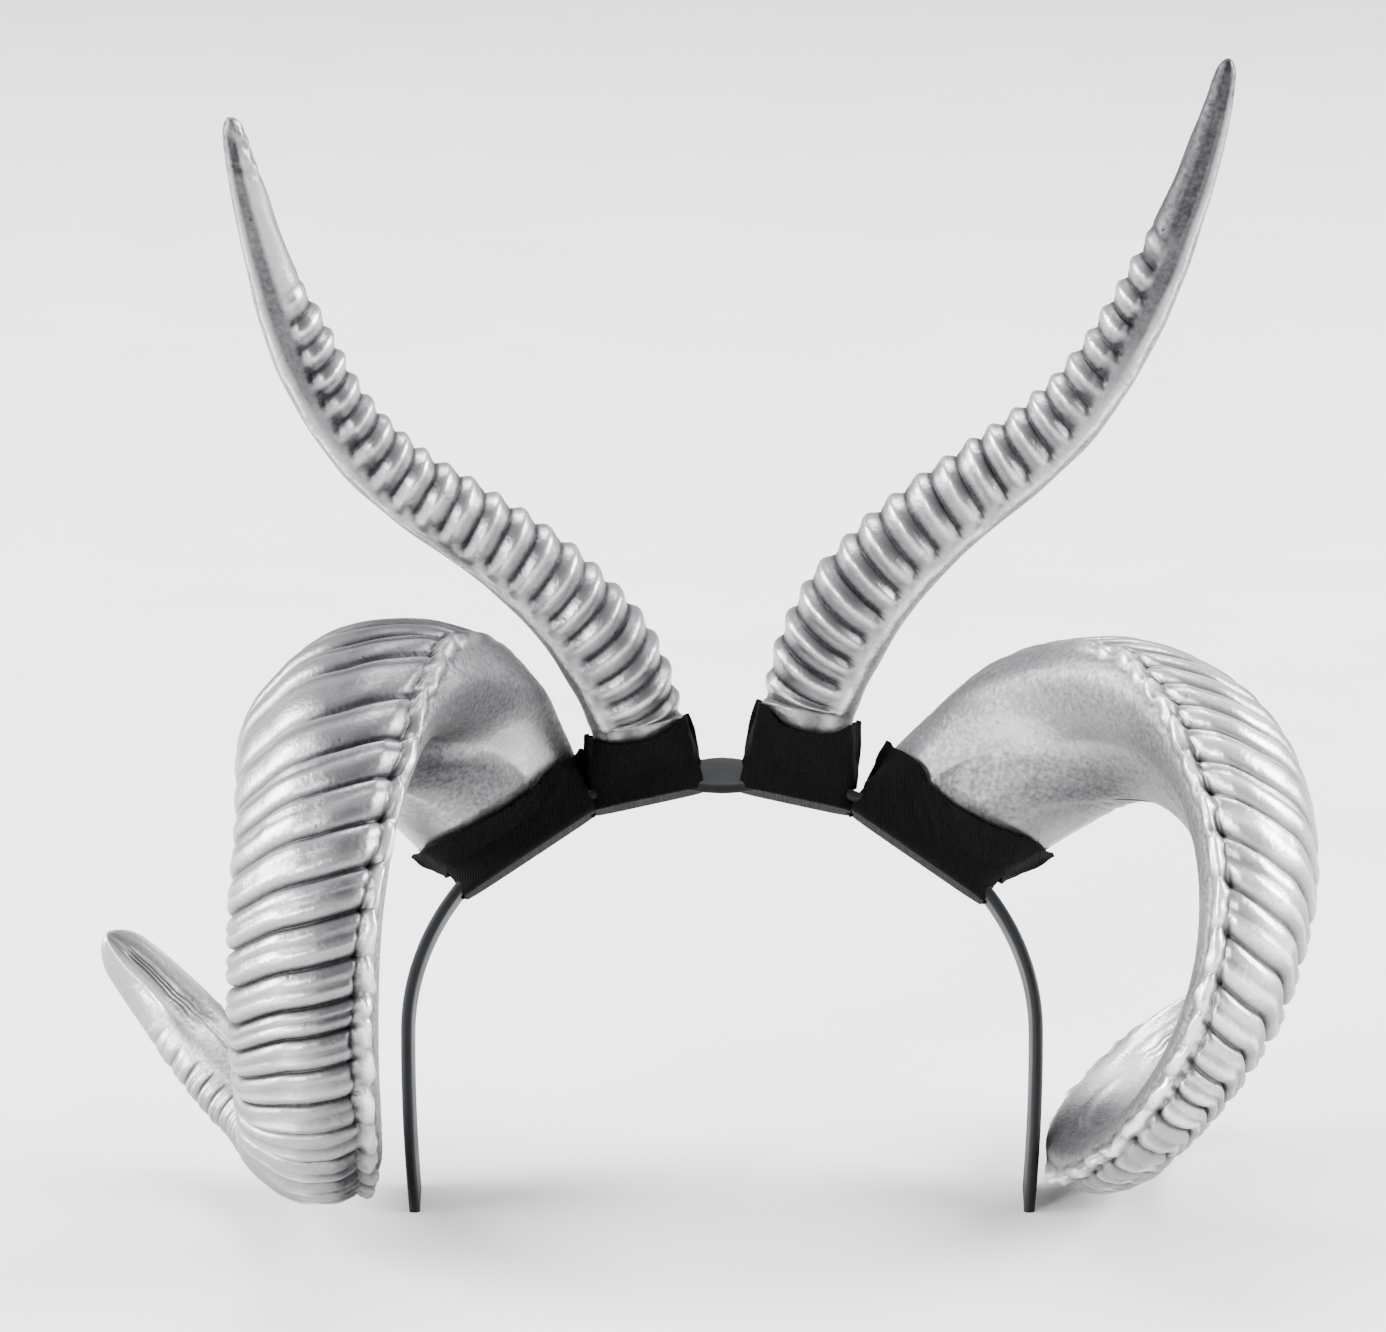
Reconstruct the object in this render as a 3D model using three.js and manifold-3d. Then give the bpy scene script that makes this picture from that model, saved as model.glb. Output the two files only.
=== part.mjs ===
// Four-horned costume headband: a flat plastic band, two tall S-curved horns, two curled ram horns,
// and a black cloth sleeve at the root of each horn.
// Millimetres and degrees, +Z up, +X to the wearer's right, +Y to the wearer's front.
// Everything is drawn about the crown of the band, and the finished headband is then stood on the floor.
import * as THREE from "three";
import { mergeVertices } from "three/addons/utils/BufferGeometryUtils.js";
import Module from "manifold-3d";

const wasm = await Module();
wasm.setup();

// Driving sizes
const GAP = 0.3;
const CLOTH = 1.4;
const SLEEVE = {
  mouthEase: 0.6, // the mouth of the sleeve stands this much further off the horn
  mouthPast: 0.03, // and the hollow is cut on past its rim by this share of the horn
};
const LEFT = -1;
const RIGHT = 1;

const BAND = {
  halfSpan: 89, // widest point of the outer face
  rise: 73, // from the widest point up to the crown, along the band
  width: 22,
  thick: 3,
  sweepBack: 20, // the band's plane leans back this far from the crown down to the ends
  drop: 112.5, // crown to the level ends
  tuckIn: 5, // the ends close in by this much from the widest point
  archSteps: 36,
  armSteps: 5,
};
const SEAT_SQUARENESS = 5; // power of the rounded oblong that sits on the band
const FOOT_SUNK = -0.9 * BAND.thick; // a foot is drawn into the band, then trimmed to sit on it
const RIB_SHOULDER = 0.24; // share of a rib's pitch taken by each slope out of its groove
const NEAR = 1e-4; // step along a spine for its direction

// The curled horn winds about an axis that points outwards, starting above the band and turning backwards.
const RAM = {
  startTurn: -59,
  sweep: 360,
  coilRadius: 56,
  coilTighten: 0.25, // natural-log shrink of the coil from root to tip
  coilOval: 0.35, // the coil swells in its first half turn and closes in its second
  reachOut: 115,
  reachEarly: 0.62, // share of the outward reach that grows evenly
  twistStart: -8,
  twistGrow: 27,
  tipRound: 0.04,
  tipBlunt: 0.14, // share of the width left at the very end
  sides: 14,
  ribs: 34,
  ribFrom: 0.05,
  ribTo: 0.935,
  ribDepth: 1.5,
  ribFade: 0.25, // the last stretch, over which the ribs die away
  ribSlant: 0.18,
  rootStations: [0.02, 0.035],
  tipStations: [0.955, 0.972, 0.988, 1],
  settle: 0.15, // the first stretch turns from the band's plane to square across the horn
};
const RAM_WIDTH = [
  { along: 0, width: 46 },
  { along: 0.18, width: 53 },
  { along: 0.4, width: 34.5 },
  { along: 0.65, width: 29.5 },
  { along: 0.88, width: 20.5 },
  { along: 1, width: 7 },
];
// Reach of the section from the spine, as a share of the width, by angle from the outer side of the curl
// towards the outward face. The keel ridge is the corner where the list starts and ends.
const RAM_SECTION = [
  { angle: -45, reach: 0.54 },
  { angle: 0, reach: 0.46 },
  { angle: 45, reach: 0.5 },
  { angle: 90, reach: 0.64 },
  { angle: 135, reach: 0.42 },
  { angle: 180, reach: 0.24 },
  { angle: 225, reach: 0.19 },
  { angle: 270, reach: 0.35 },
  { angle: 315, reach: 0.54 },
];
const RAM_RIBBED = { from: -38, to: 128, blend: 22 };
const RAM_PLACES = [
  {
    side: LEFT,
    root: [-62.9, -7, -11.2],
    rootInset: [8, 0, 0], // how far the root is drawn over towards its seat
    yaw: -6.7,
    pitch: -0.7,
    roll: -14.6,
    seatX: 56,
  },
  {
    side: RIGHT,
    root: [65, -7, -5],
    rootInset: [-5.5, 0, -4],
    yaw: 27.2,
    pitch: 3.7,
    roll: 32.8,
    seatX: 57.5,
  },
];
// The foot that sits on the band, and the hem and rim of the sleeve round it. Shifts run outwards along
// the band, and the rim is a share of the horn's length.
const RAM_SEAT = { along: 40, across: 19, shift: 2, hemAlong: 44.5, hemShift: 1.5, rimAt: 0.02 };

// The tall horn leans outwards by its heading, which swells and then falls away, so that it draws an S.
const ANTELOPE = {
  length: 231,
  sides: 10,
  ribs: 21,
  ribFrom: 0.015,
  ribTo: 0.77,
  ribDepth: 1.6,
  ribFadeFrom: 0.3, // from here the ribs grow shallower
  ribFade: 0.45, // share of their depth lost by the last one
  tipRound: 0.02,
  tipBlunt: 0.32,
  tipSteps: 9,
  spineSteps: 200,
  depthShare: 0.94, // front to back against side to side
  settle: 0.06,
};
const ANTELOPE_HEADING = [
  { along: 0, left: 7, right: 10 },
  { along: 0.2, left: 36, right: 36 },
  { along: 0.4, left: 52, right: 50 },
  { along: 0.6, left: 28, right: 31.5 },
  { along: 0.8, left: 13, right: 19 },
  { along: 1, left: 8, right: 8.5 },
];
const ANTELOPE_WIDTH = [
  { along: 0, width: 26.5 },
  { along: 0.1, width: 27 },
  { along: 0.25, width: 24 },
  { along: 0.4, width: 21 },
  { along: 0.6, width: 18.5 },
  { along: 0.7, width: 16.5 },
  { along: 0.8, width: 12.5 },
  { along: 0.92, width: 8.5 },
  { along: 1, width: 3.6 },
];
// The outer side is a smooth strip between two fine ridges, a little flatter than the ribbed round.
const ANTELOPE_SECTION = [
  { angle: 0, reach: 0.5 },
  { angle: 90, reach: 0.5 },
  { angle: 135, reach: 0.52 },
  { angle: 180, reach: 0.47 },
  { angle: 225, reach: 0.52 },
  { angle: 270, reach: 0.5 },
  { angle: 360, reach: 0.5 },
];
const ANTELOPE_RIBBED = { from: -126, to: 126, blend: 20 };
const ANTELOPE_PLACES = [
  { side: LEFT, root: [-23.4, 0, 9.6], lean: 20.9, seatX: 23 },
  { side: RIGHT, root: [23.6, 0, 13.4], lean: 12.4, seatX: 22.8 },
];
const ANTELOPE_SEAT = { along: 25, across: 19, shift: 0, hemAlong: 31.5, hemShift: -1.8, rimAt: 0.015 };

const SILVER = { color: 0xb4b6ba, roughness: 0.36, metalness: 0.85 };
const BLACK_CLOTH = { color: 0x0b0b0c, roughness: 0.95, metalness: 0 };
const BAND_PLASTIC = { color: 0x23272e, roughness: 0.6, metalness: 0 };

const rad = THREE.MathUtils.degToRad;
const clamp01 = (value) => THREE.MathUtils.clamp(value, 0, 1);

// A smooth value read from one column of a table, with no overshoot between rows.
function readTable(table, key, column, at) {
  const last = table.length - 1;
  const x = THREE.MathUtils.clamp(at, table[0][key], table[last][key]);
  let i = 0;
  while (i < last - 1 && x > table[i + 1][key]) i += 1;
  const grade = (k) => (table[k + 1][column] - table[k][column]) / (table[k + 1][key] - table[k][key]);
  const slope = (k) => {
    if (k === 0) return grade(0);
    if (k === last) return grade(last - 1);
    const before = grade(k - 1);
    const after = grade(k);
    return before * after <= 0 ? 0 : (2 * before * after) / (before + after);
  };
  const step = table[i + 1][key] - table[i][key];
  const u = (x - table[i][key]) / step;
  const rise = u * u * (3 - 2 * u);
  const early = u * (1 - u) * (1 - u) * step * slope(i);
  const late = u * u * (u - 1) * step * slope(i + 1);
  return table[i][column] * (1 - rise) + table[i + 1][column] * rise + early + late;
}

// 1 inside an angular range, easing to 0 just outside it.
function ribbedShare(range, angle) {
  const into = Math.min(angle - range.from, range.to - angle);
  return THREE.MathUtils.smoothstep(into, -range.blend / 2, range.blend / 2);
}

// The band's outer face in its own leaning plane: x across the head and down the band from the crown.
const leanBack = rad(BAND.sweepBack);
const inPlane = (x, down) =>
  new THREE.Vector3(x, -down * Math.sin(leanBack), -down * Math.cos(leanBack));
const downAt = (x) => BAND.rise * (1 - Math.sqrt(1 - (x / BAND.halfSpan) ** 2));
const BAND_ACROSS = new THREE.Vector3(0, Math.cos(leanBack), -Math.sin(leanBack));

// Where a horn is seated: the point on the outer face and the directions out of, along and across the band.
function bandSeat(x, side) {
  const down = downAt(x);
  const nx = x / BAND.halfSpan ** 2;
  const nUp = (BAND.rise - down) / BAND.rise ** 2;
  const size = Math.hypot(nx, nUp);
  const normal = inPlane((side * nx) / size, -nUp / size);
  const outward = inPlane((side * nUp) / size, nx / size);
  return { point: inPlane(side * x, down), normal, outward, across: BAND_ACROSS };
}

// Solids and meshes
function loft(rings) {
  const sides = rings[0].length;
  const points = rings.flat();
  const faces = [];
  for (let i = 0; i < rings.length - 1; i += 1) {
    for (let j = 0; j < sides; j += 1) {
      const a = i * sides + j;
      const b = i * sides + ((j + 1) % sides);
      faces.push(a, b, b + sides, a, b + sides, a + sides);
    }
  }
  for (const [ring, turn] of [[0, -1], [rings.length - 1, 1]]) {
    const centre = new THREE.Vector3();
    rings[ring].forEach((p) => centre.addScaledVector(p, 1 / sides));
    const hub = points.push(centre) - 1;
    for (let j = 0; j < sides; j += 1) {
      const a = ring * sides + j;
      const b = ring * sides + ((j + 1) % sides);
      faces.push(...(turn > 0 ? [a, b, hub] : [b, a, hub]));
    }
  }
  const geometry = new THREE.BufferGeometry().setFromPoints(points);
  geometry.setIndex(faces);
  return volumeOf(geometry) < 0 ? turnedOut(geometry) : geometry;
}

function volumeOf(geometry) {
  const index = geometry.index.array;
  const at = (k) => new THREE.Vector3().fromBufferAttribute(geometry.attributes.position, index[k]);
  let sum = 0;
  for (let k = 0; k < index.length; k += 3) sum += at(k).dot(at(k + 1).cross(at(k + 2))) / 6;
  return sum;
}

function turnedOut(geometry) {
  const index = geometry.index.array;
  for (let k = 0; k < index.length; k += 3) [index[k + 1], index[k + 2]] = [index[k + 2], index[k + 1]];
  return geometry;
}

function toSolid(geometry) {
  const bare = geometry.clone();
  bare.deleteAttribute("normal");
  bare.deleteAttribute("uv");
  const merged = mergeVertices(bare, 1e-3);
  return new wasm.Manifold(
    new wasm.Mesh({
      numProp: 3,
      vertProperties: new Float32Array(merged.attributes.position.array),
      triVerts: new Uint32Array(merged.index.array),
    }),
  );
}

function toGeometry(solid) {
  const made = solid.getMesh();
  const geometry = new THREE.BufferGeometry();
  geometry.setAttribute("position", new THREE.BufferAttribute(made.vertProperties, 3));
  geometry.setIndex(new THREE.BufferAttribute(made.triVerts, 1));
  return geometry;
}

function named(name, geometry, finish) {
  const mesh = new THREE.Mesh(geometry, new THREE.MeshStandardMaterial(finish));
  mesh.name = name;
  return mesh;
}

// The band: an elliptical arch that runs on into two arms, extruded across its width and trimmed level.
// A positive growth gives the slightly larger body that clears it.
function bandSolid(grow, endsTrimmed) {
  const armEnd = (BAND.drop + BAND.width) / Math.cos(leanBack);
  const half = [];
  for (let i = 0; i <= BAND.archSteps / 2; i += 1) {
    const turn = (Math.PI * i) / BAND.archSteps;
    half.push(new THREE.Vector2(BAND.halfSpan * Math.sin(turn), BAND.rise * (1 - Math.cos(turn))));
  }
  for (let i = 1; i <= BAND.armSteps; i += 1) {
    const u = i / BAND.armSteps;
    half.push(
      new THREE.Vector2(
        BAND.halfSpan - BAND.tuckIn * u * u,
        BAND.rise + (armEnd - BAND.rise) * u,
      ),
    );
  }
  const path = [...half.slice(1).reverse().map((p) => new THREE.Vector2(-p.x, p.y)), ...half];
  const offset = (by) =>
    path.map((p, i) => {
      const before = path[Math.max(i - 1, 0)];
      const after = path[Math.min(i + 1, path.length - 1)];
      const run = after.clone().sub(before).normalize();
      return new THREE.Vector2(p.x + run.y * by, p.y - run.x * by);
    });
  const outline = new THREE.Shape([...offset(grow), ...offset(-BAND.thick - grow).reverse()]);
  const strip = new THREE.ExtrudeGeometry(outline, {
    depth: BAND.width + 2 * grow,
    bevelEnabled: false,
  });
  // The outline's x is across the head, its y runs down the band and its depth lies across the strip.
  strip.translate(0, 0, -BAND.width / 2 - grow);
  const down = inPlane(0, 1);
  const across = new THREE.Vector3(1, 0, 0).cross(down);
  strip.applyMatrix4(new THREE.Matrix4().makeBasis(new THREE.Vector3(1, 0, 0), down, across));
  const solid = toSolid(strip);
  if (!endsTrimmed) return solid;
  const reach = 4 * BAND.halfSpan;
  const below = new THREE.BoxGeometry(reach, reach, reach).translate(0, 0, -BAND.drop - reach / 2);
  return solid.subtract(toSolid(below));
}

// A flat ring of points about a centre, from two in-plane directions and a reach for each angle.
function ringOf(centre, first, second, angles, reachAt) {
  return angles.map((angle) => {
    const reach = reachAt(angle);
    return centre
      .clone()
      .addScaledVector(first, reach * Math.cos(rad(angle)))
      .addScaledVector(second, reach * Math.sin(rad(angle)));
  });
}

// A rounded oblong ring that lies on the band at a height above its outer face.
function seatRing(horn, height, along, across, shift) {
  const { seat, angles, alongSign, acrossSign } = horn;
  const centre = seat.point
    .clone()
    .addScaledVector(seat.normal, height)
    .addScaledVector(seat.outward, shift);
  const powered = (part, size) => Math.abs((2 * part) / size) ** SEAT_SQUARENESS;
  return angles.map((angle) => {
    const c = Math.cos(rad(angle));
    const s = Math.sin(rad(angle));
    const [alongPart, acrossPart] = horn.alongIsFirst ? [c, s] : [s, c];
    const scale = (powered(alongPart, along) + powered(acrossPart, across)) ** (-1 / SEAT_SQUARENESS);
    return centre
      .clone()
      .addScaledVector(seat.outward, alongSign * alongPart * scale)
      .addScaledVector(seat.across, acrossSign * acrossPart * scale);
  });
}

// Stations along a ribbed stretch: a groove, then the two shoulders of a broad rib.
function ribStations(sizes) {
  const pitch = (sizes.ribTo - sizes.ribFrom) / sizes.ribs;
  const stations = [];
  for (let i = 0; i < sizes.ribs; i += 1) {
    const at = sizes.ribFrom + i * pitch;
    stations.push(
      { t: at, groove: 1 },
      { t: at + RIB_SHOULDER * pitch, groove: 0 },
      { t: at + (1 - RIB_SHOULDER) * pitch, groove: 0 },
    );
  }
  stations.push({ t: sizes.ribTo, groove: 1 });
  return stations;
}

const plainStation = (t) => ({ t, groove: 0 });

// Share of the width left at t, where the end is rounded off over its last stretch.
function roundedEnd(sizes, t) {
  const end = clamp01((t - 1 + sizes.tipRound) / sizes.tipRound);
  return Math.max(Math.sqrt(1 - end * end), sizes.tipBlunt);
}

// Curled horn: spine, section and placing
function ramHorn(place) {
  const turnOf = (t) => rad(RAM.startTurn + RAM.sweep * t);
  const axis = new THREE.Vector3(place.side, 0, 0);
  const outer = (t) => new THREE.Vector3(0, -Math.sin(turnOf(t)), Math.cos(turnOf(t)));
  const spine = (t) => {
    const radius =
      RAM.coilRadius * Math.exp(-RAM.coilTighten * t) * (1 + RAM.coilOval * Math.sin(2 * Math.PI * t));
    const out = RAM.reachOut * (RAM.reachEarly * t + (1 - RAM.reachEarly) * t * t);
    return outer(t).multiplyScalar(radius).addScaledVector(axis, out);
  };
  const turn = new THREE.Matrix4().makeRotationFromEuler(
    new THREE.Euler(rad(place.pitch), rad(place.roll), rad(place.yaw), "ZXY"),
  );
  const start = spine(0);
  const root = new THREE.Vector3(...place.root);
  const inset = new THREE.Vector3(...place.rootInset);
  const unsettled = (t) => 1 - THREE.MathUtils.smoothstep(t, 0, RAM.settle);
  const centre = (t) =>
    spine(t).sub(start).applyMatrix4(turn).add(root).addScaledVector(inset, unsettled(t));
  const seat = bandSeat(place.seatX, place.side);

  const frame = (t) => {
    const run = spine(t + NEAR).sub(spine(t - NEAR)).normalize();
    const square = outer(t);
    square.addScaledVector(run, -square.dot(run)).normalize();
    const side = square.clone().cross(run);
    if (side.dot(axis) < 0) side.negate();
    const twist = rad(RAM.twistStart + RAM.twistGrow * t);
    const first = square.clone().multiplyScalar(Math.cos(twist)).addScaledVector(side, Math.sin(twist));
    const second = side.multiplyScalar(Math.cos(twist)).addScaledVector(square, -Math.sin(twist));
    first.transformDirection(turn);
    second.transformDirection(turn);
    first.lerp(seat.across, unsettled(t)).normalize();
    second.lerp(seat.outward, unsettled(t)).normalize();
    return { first, second, run: run.transformDirection(turn) };
  };

  const ridge = RAM_SECTION[0].angle;
  const angles = Array.from({ length: RAM.sides }, (_, j) => ridge + (360 * j) / RAM.sides);
  const section = (t, groove, grow) => {
    const { first, second, run } = frame(t);
    const width = readTable(RAM_WIDTH, "along", "width", t) * roundedEnd(RAM, t);
    const fade = THREE.MathUtils.smoothstep(1 - t, 0, RAM.ribFade);
    const ring = ringOf(centre(t), first, second, angles, (angle) => {
      const cut = groove * RAM.ribDepth * fade * ribbedShare(RAM_RIBBED, angle);
      return width * readTable(RAM_SECTION, "angle", "reach", angle) - cut + grow;
    });
    const slant = RAM.ribSlant * THREE.MathUtils.smoothstep(t, 0, 2 * RAM.settle) * fade;
    const middle = centre(t);
    return ring.map((p) => p.addScaledVector(run, slant * p.clone().sub(middle).dot(second)));
  };
  return {
    seat, angles, section, seatSize: RAM_SEAT,
    alongIsFirst: false, alongSign: 1, acrossSign: 1,
    stations: [
      ...RAM.rootStations.map(plainStation),
      ...ribStations(RAM),
      ...RAM.tipStations.map(plainStation),
    ],
  };
}

// Tall horn: spine, section and placing
function antelopeHorn(place) {
  const column = place.side === LEFT ? "left" : "right";
  const heading = (t) => rad(readTable(ANTELOPE_HEADING, "along", column, t));
  const steps = ANTELOPE.spineSteps;
  const knots = [new THREE.Vector3()];
  for (let i = 0; i < steps; i += 1) {
    const middle = heading((i + 0.5) / steps);
    const stride = new THREE.Vector3(place.side * Math.sin(middle), 0, Math.cos(middle));
    knots.push(knots[i].clone().addScaledVector(stride, ANTELOPE.length / steps));
  }
  const turn = new THREE.Matrix4().makeRotationX(rad(place.lean));
  const root = new THREE.Vector3(...place.root);
  const centre = (t) => {
    const at = clamp01(t) * steps;
    const i = Math.min(Math.floor(at), steps - 1);
    return knots[i].clone().lerp(knots[i + 1], at - i).applyMatrix4(turn).add(root);
  };
  const seat = bandSeat(place.seatX, place.side);
  const angles = Array.from({ length: ANTELOPE.sides }, (_, j) => (360 * j) / ANTELOPE.sides);
  const section = (t, groove, grow) => {
    const inner = new THREE.Vector3(-place.side * Math.cos(heading(t)), 0, Math.sin(heading(t)));
    const back = new THREE.Vector3(0, -ANTELOPE.depthShare, 0);
    inner.applyMatrix4(turn);
    back.applyMatrix4(turn);
    const settled = THREE.MathUtils.smoothstep(t, 0, ANTELOPE.settle);
    inner.lerp(seat.outward.clone().negate(), 1 - settled).normalize();
    back.lerp(seat.across.clone().multiplyScalar(-ANTELOPE.depthShare), 1 - settled);
    const width = readTable(ANTELOPE_WIDTH, "along", "width", t) * roundedEnd(ANTELOPE, t);
    const shallower = THREE.MathUtils.smoothstep(t, ANTELOPE.ribFadeFrom, ANTELOPE.ribTo);
    const fade = 1 - ANTELOPE.ribFade * shallower;
    return ringOf(centre(t), inner, back, angles, (angle) => {
      const around = angle > 180 ? angle - 360 : angle;
      const cut = groove * ANTELOPE.ribDepth * fade * ribbedShare(ANTELOPE_RIBBED, around);
      return width * readTable(ANTELOPE_SECTION, "angle", "reach", angle) - cut + grow;
    });
  };
  const smooth = Array.from({ length: ANTELOPE.tipSteps }, (_, i) => {
    const u = (i + 1) / ANTELOPE.tipSteps;
    return plainStation(ANTELOPE.ribTo + (1 - ANTELOPE.ribTo) * Math.sin((u * Math.PI) / 2));
  });
  return {
    seat, angles, section, seatSize: ANTELOPE_SEAT,
    alongIsFirst: true, alongSign: -1, acrossSign: -1,
    stations: [...ribStations(ANTELOPE), ...smooth],
  };
}

const bandClear = bandSolid(GAP, false);

// The horn runs from a foot that straddles the band, up through its ribs to the tip.
function hornGeometry(horn) {
  const { along, across, shift } = horn.seatSize;
  const foot = seatRing(horn, FOOT_SUNK, along, across, shift);
  const rings = [foot, ...horn.stations.map(({ t, groove }) => horn.section(t, groove, 0))];
  return toGeometry(toSolid(loft(rings)).subtract(bandClear));
}

// The sleeve is a cloth tube that hugs the horn's root and goes round the band below it.
function sleeveGeometry(horn) {
  const { along, across, shift, hemAlong, hemShift, rimAt } = horn.seatSize;
  const wall = GAP + CLOTH;
  const hemAcross = BAND.width + 2 * wall;
  const outer = loft([
    seatRing(horn, -BAND.thick - wall, hemAlong, hemAcross, hemShift),
    seatRing(horn, GAP, hemAlong, hemAcross, hemShift),
    horn.section(rimAt, 0, wall),
  ]);
  const inner = loft([
    seatRing(horn, FOOT_SUNK, along + 2 * GAP, across + 2 * GAP, shift),
    horn.section(rimAt, 0, GAP),
    horn.section(rimAt + SLEEVE.mouthPast, 0, GAP + SLEEVE.mouthEase),
  ]);
  return toGeometry(toSolid(outer).subtract(toSolid(inner)).subtract(bandClear));
}

const about = new THREE.Group();
about.add(named("headband", toGeometry(bandSolid(0, true)), BAND_PLASTIC));
const KINDS = [
  { kind: "antelope", places: ANTELOPE_PLACES, made: antelopeHorn },
  { kind: "ram", places: RAM_PLACES, made: ramHorn },
];
for (const { kind, places, made } of KINDS) {
  for (const place of places) {
    const horn = made(place);
    const sideName = place.side === LEFT ? "left" : "right";
    about.add(named(`${kind}_horn_${sideName}`, hornGeometry(horn), SILVER));
    about.add(named(`${kind}_sleeve_${sideName}`, sleeveGeometry(horn), BLACK_CLOTH));
  }
}

// Stand the headband on the floor, with the origin under the middle of its box.
const box = new THREE.Box3().setFromObject(about);
about.position.set(-(box.min.x + box.max.x) / 2, -(box.min.y + box.max.y) / 2, -box.min.z);

const headpiece = new THREE.Group();
headpiece.add(about);
export default headpiece;
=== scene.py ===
"""Four-horned silver costume headband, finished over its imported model.

Each plain solid is replaced by a finished piece in the same place: two tall ribbed horns, two curled ram
horns, the cloth sleeves round their roots and the plastic band. Sizes are millimetres and degrees about the
crown of the band, and turn into the frame's metres only where a mesh is written.
"""

from __future__ import annotations

import logging
import math
from abc import ABC, abstractmethod
from dataclasses import dataclass, field
from enum import Enum
from typing import Callable, ClassVar

import bpy
import numpy as np
from mathutils import Matrix, Vector

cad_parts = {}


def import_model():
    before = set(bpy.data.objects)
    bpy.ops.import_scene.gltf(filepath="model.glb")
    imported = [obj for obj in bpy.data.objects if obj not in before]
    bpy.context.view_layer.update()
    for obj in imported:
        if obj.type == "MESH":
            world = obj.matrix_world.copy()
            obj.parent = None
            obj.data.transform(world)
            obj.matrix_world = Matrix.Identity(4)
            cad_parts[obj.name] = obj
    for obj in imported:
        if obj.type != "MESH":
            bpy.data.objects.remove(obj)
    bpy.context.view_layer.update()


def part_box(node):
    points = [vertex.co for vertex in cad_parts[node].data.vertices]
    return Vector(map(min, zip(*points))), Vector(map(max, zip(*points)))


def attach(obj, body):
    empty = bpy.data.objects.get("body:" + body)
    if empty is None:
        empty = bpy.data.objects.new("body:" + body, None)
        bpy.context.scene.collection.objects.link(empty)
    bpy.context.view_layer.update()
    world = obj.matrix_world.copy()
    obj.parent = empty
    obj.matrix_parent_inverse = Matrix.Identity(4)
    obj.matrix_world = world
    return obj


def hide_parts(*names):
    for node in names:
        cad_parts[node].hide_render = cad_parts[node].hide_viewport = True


Array = np.ndarray
Table = tuple[tuple[float, float], ...]
Wrap = Callable[[Array, Array], tuple[Array, dict[str, Array]]]

MM = 0.001
TAU = 2 * math.pi
BODY = "root"
log = logging.getLogger("headband")


class Side(Enum):
    """The wearer's side that a horn stands on, with the sign of its X."""

    LEFT = -1
    RIGHT = 1

    @property
    def word(self) -> str:
        """The side's name as piece names use it."""
        return self.name.lower()


class Slot(Enum):
    """Names of the material slots."""

    SILVER = "silver_horn"
    CLOTH = "sleeve_cloth"
    PLASTIC = "band_plastic"


def smoothstep(low: float, high: float, value: Array) -> Array:
    """Ease from 0 at low to 1 at high.

    Args:
        low: Value where the ease starts.
        high: Value where it ends, which may be below low.
        value: Where to read it.

    Returns:
        The eased share at each value.
    """
    share = np.clip((value - low) / (high - low), 0.0, 1.0)
    return share * share * (3 - 2 * share)


def hump(value: Array, middle: Array | float, half_width: Array | float) -> Array:
    """A rounded bump of height 1 about a middle.

    Args:
        value: Where to read it.
        middle: Where the bump stands.
        half_width: Distance at which it has fallen to about a third.

    Returns:
        The bump's height at each value.
    """
    return np.exp(-(((value - middle) / half_width) ** 2))


def half_turn(angle: Array) -> Array:
    """The same angles, as degrees from -180 to 180."""
    return np.mod(angle + 180, 360) - 180


def unit(vectors: Array) -> Array:
    """Vectors of the same direction with length 1."""
    return vectors / np.linalg.norm(vectors, axis=-1, keepdims=True)


def read_table(rows: Table, at: Array) -> Array:
    """Read a smooth value from a two-column table, with no overshoot between its rows.

    Args:
        rows: Pairs of place and value, in order of place.
        at: Places to read.

    Returns:
        The value at each place.
    """
    x = np.array([row[0] for row in rows], float)
    y = np.array([row[1] for row in rows], float)
    grade = np.diff(y) / np.diff(x)
    slope = np.concatenate([grade[:1], np.zeros(len(x) - 2), grade[-1:]])
    before, after = grade[:-1], grade[1:]
    same_way = before * after > 0
    slope[1:-1][same_way] = (2 * before * after)[same_way] / (before + after)[same_way]
    at = np.clip(np.asarray(at, float), x[0], x[-1])
    i = np.clip(np.searchsorted(x, at, side="right") - 1, 0, len(x) - 2)
    step = x[i + 1] - x[i]
    u = (at - x[i]) / step
    rise = u * u * (3 - 2 * u)
    early = u * (1 - u) ** 2 * step * slope[i]
    late = u * u * (u - 1) * step * slope[i + 1]
    return y[i] * (1 - rise) + y[i + 1] * rise + early + late


@dataclass(frozen=True)
class Ripple:
    """A smooth seeded wobble of about unit height, summed from a few sine waves."""

    seed: int
    rates: tuple[float, ...]
    waves: int = 8

    def __call__(self, *places: Array) -> Array:
        """Read the wobble.

        Args:
            places: One array for each rate, which is in waves to each unit of it.

        Returns:
            The wobble where the places meet.
        """
        draw = np.random.default_rng(self.seed)
        total: Array | float = 0.0
        for _ in range(self.waves):
            turn: Array | float = draw.uniform(0, TAU)
            for rate, place in zip(self.rates, places):
                turn = turn + TAU * rate * draw.normal() * place
            total = total + np.sin(turn)
        return total * math.sqrt(2 / self.waves)


def round_ripple(ripple: Ripple, along: Array, angle: Array) -> Array:
    """A wobble that closes on itself round a horn.

    Args:
        ripple: The wobble, with one rate along and two round.
        along: Place along the horn.
        angle: Degrees round it.

    Returns:
        The wobble at each place.
    """
    turn = np.radians(angle)
    return ripple(along, np.cos(turn), np.sin(turn))


@dataclass(frozen=True)
class Bump:
    """A rounded bump of height 1 at a set place."""

    middle: float
    half_width: float

    def __call__(self, value: Array) -> Array:
        """The bump's height at each value."""
        return hump(value, self.middle, self.half_width)


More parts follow.
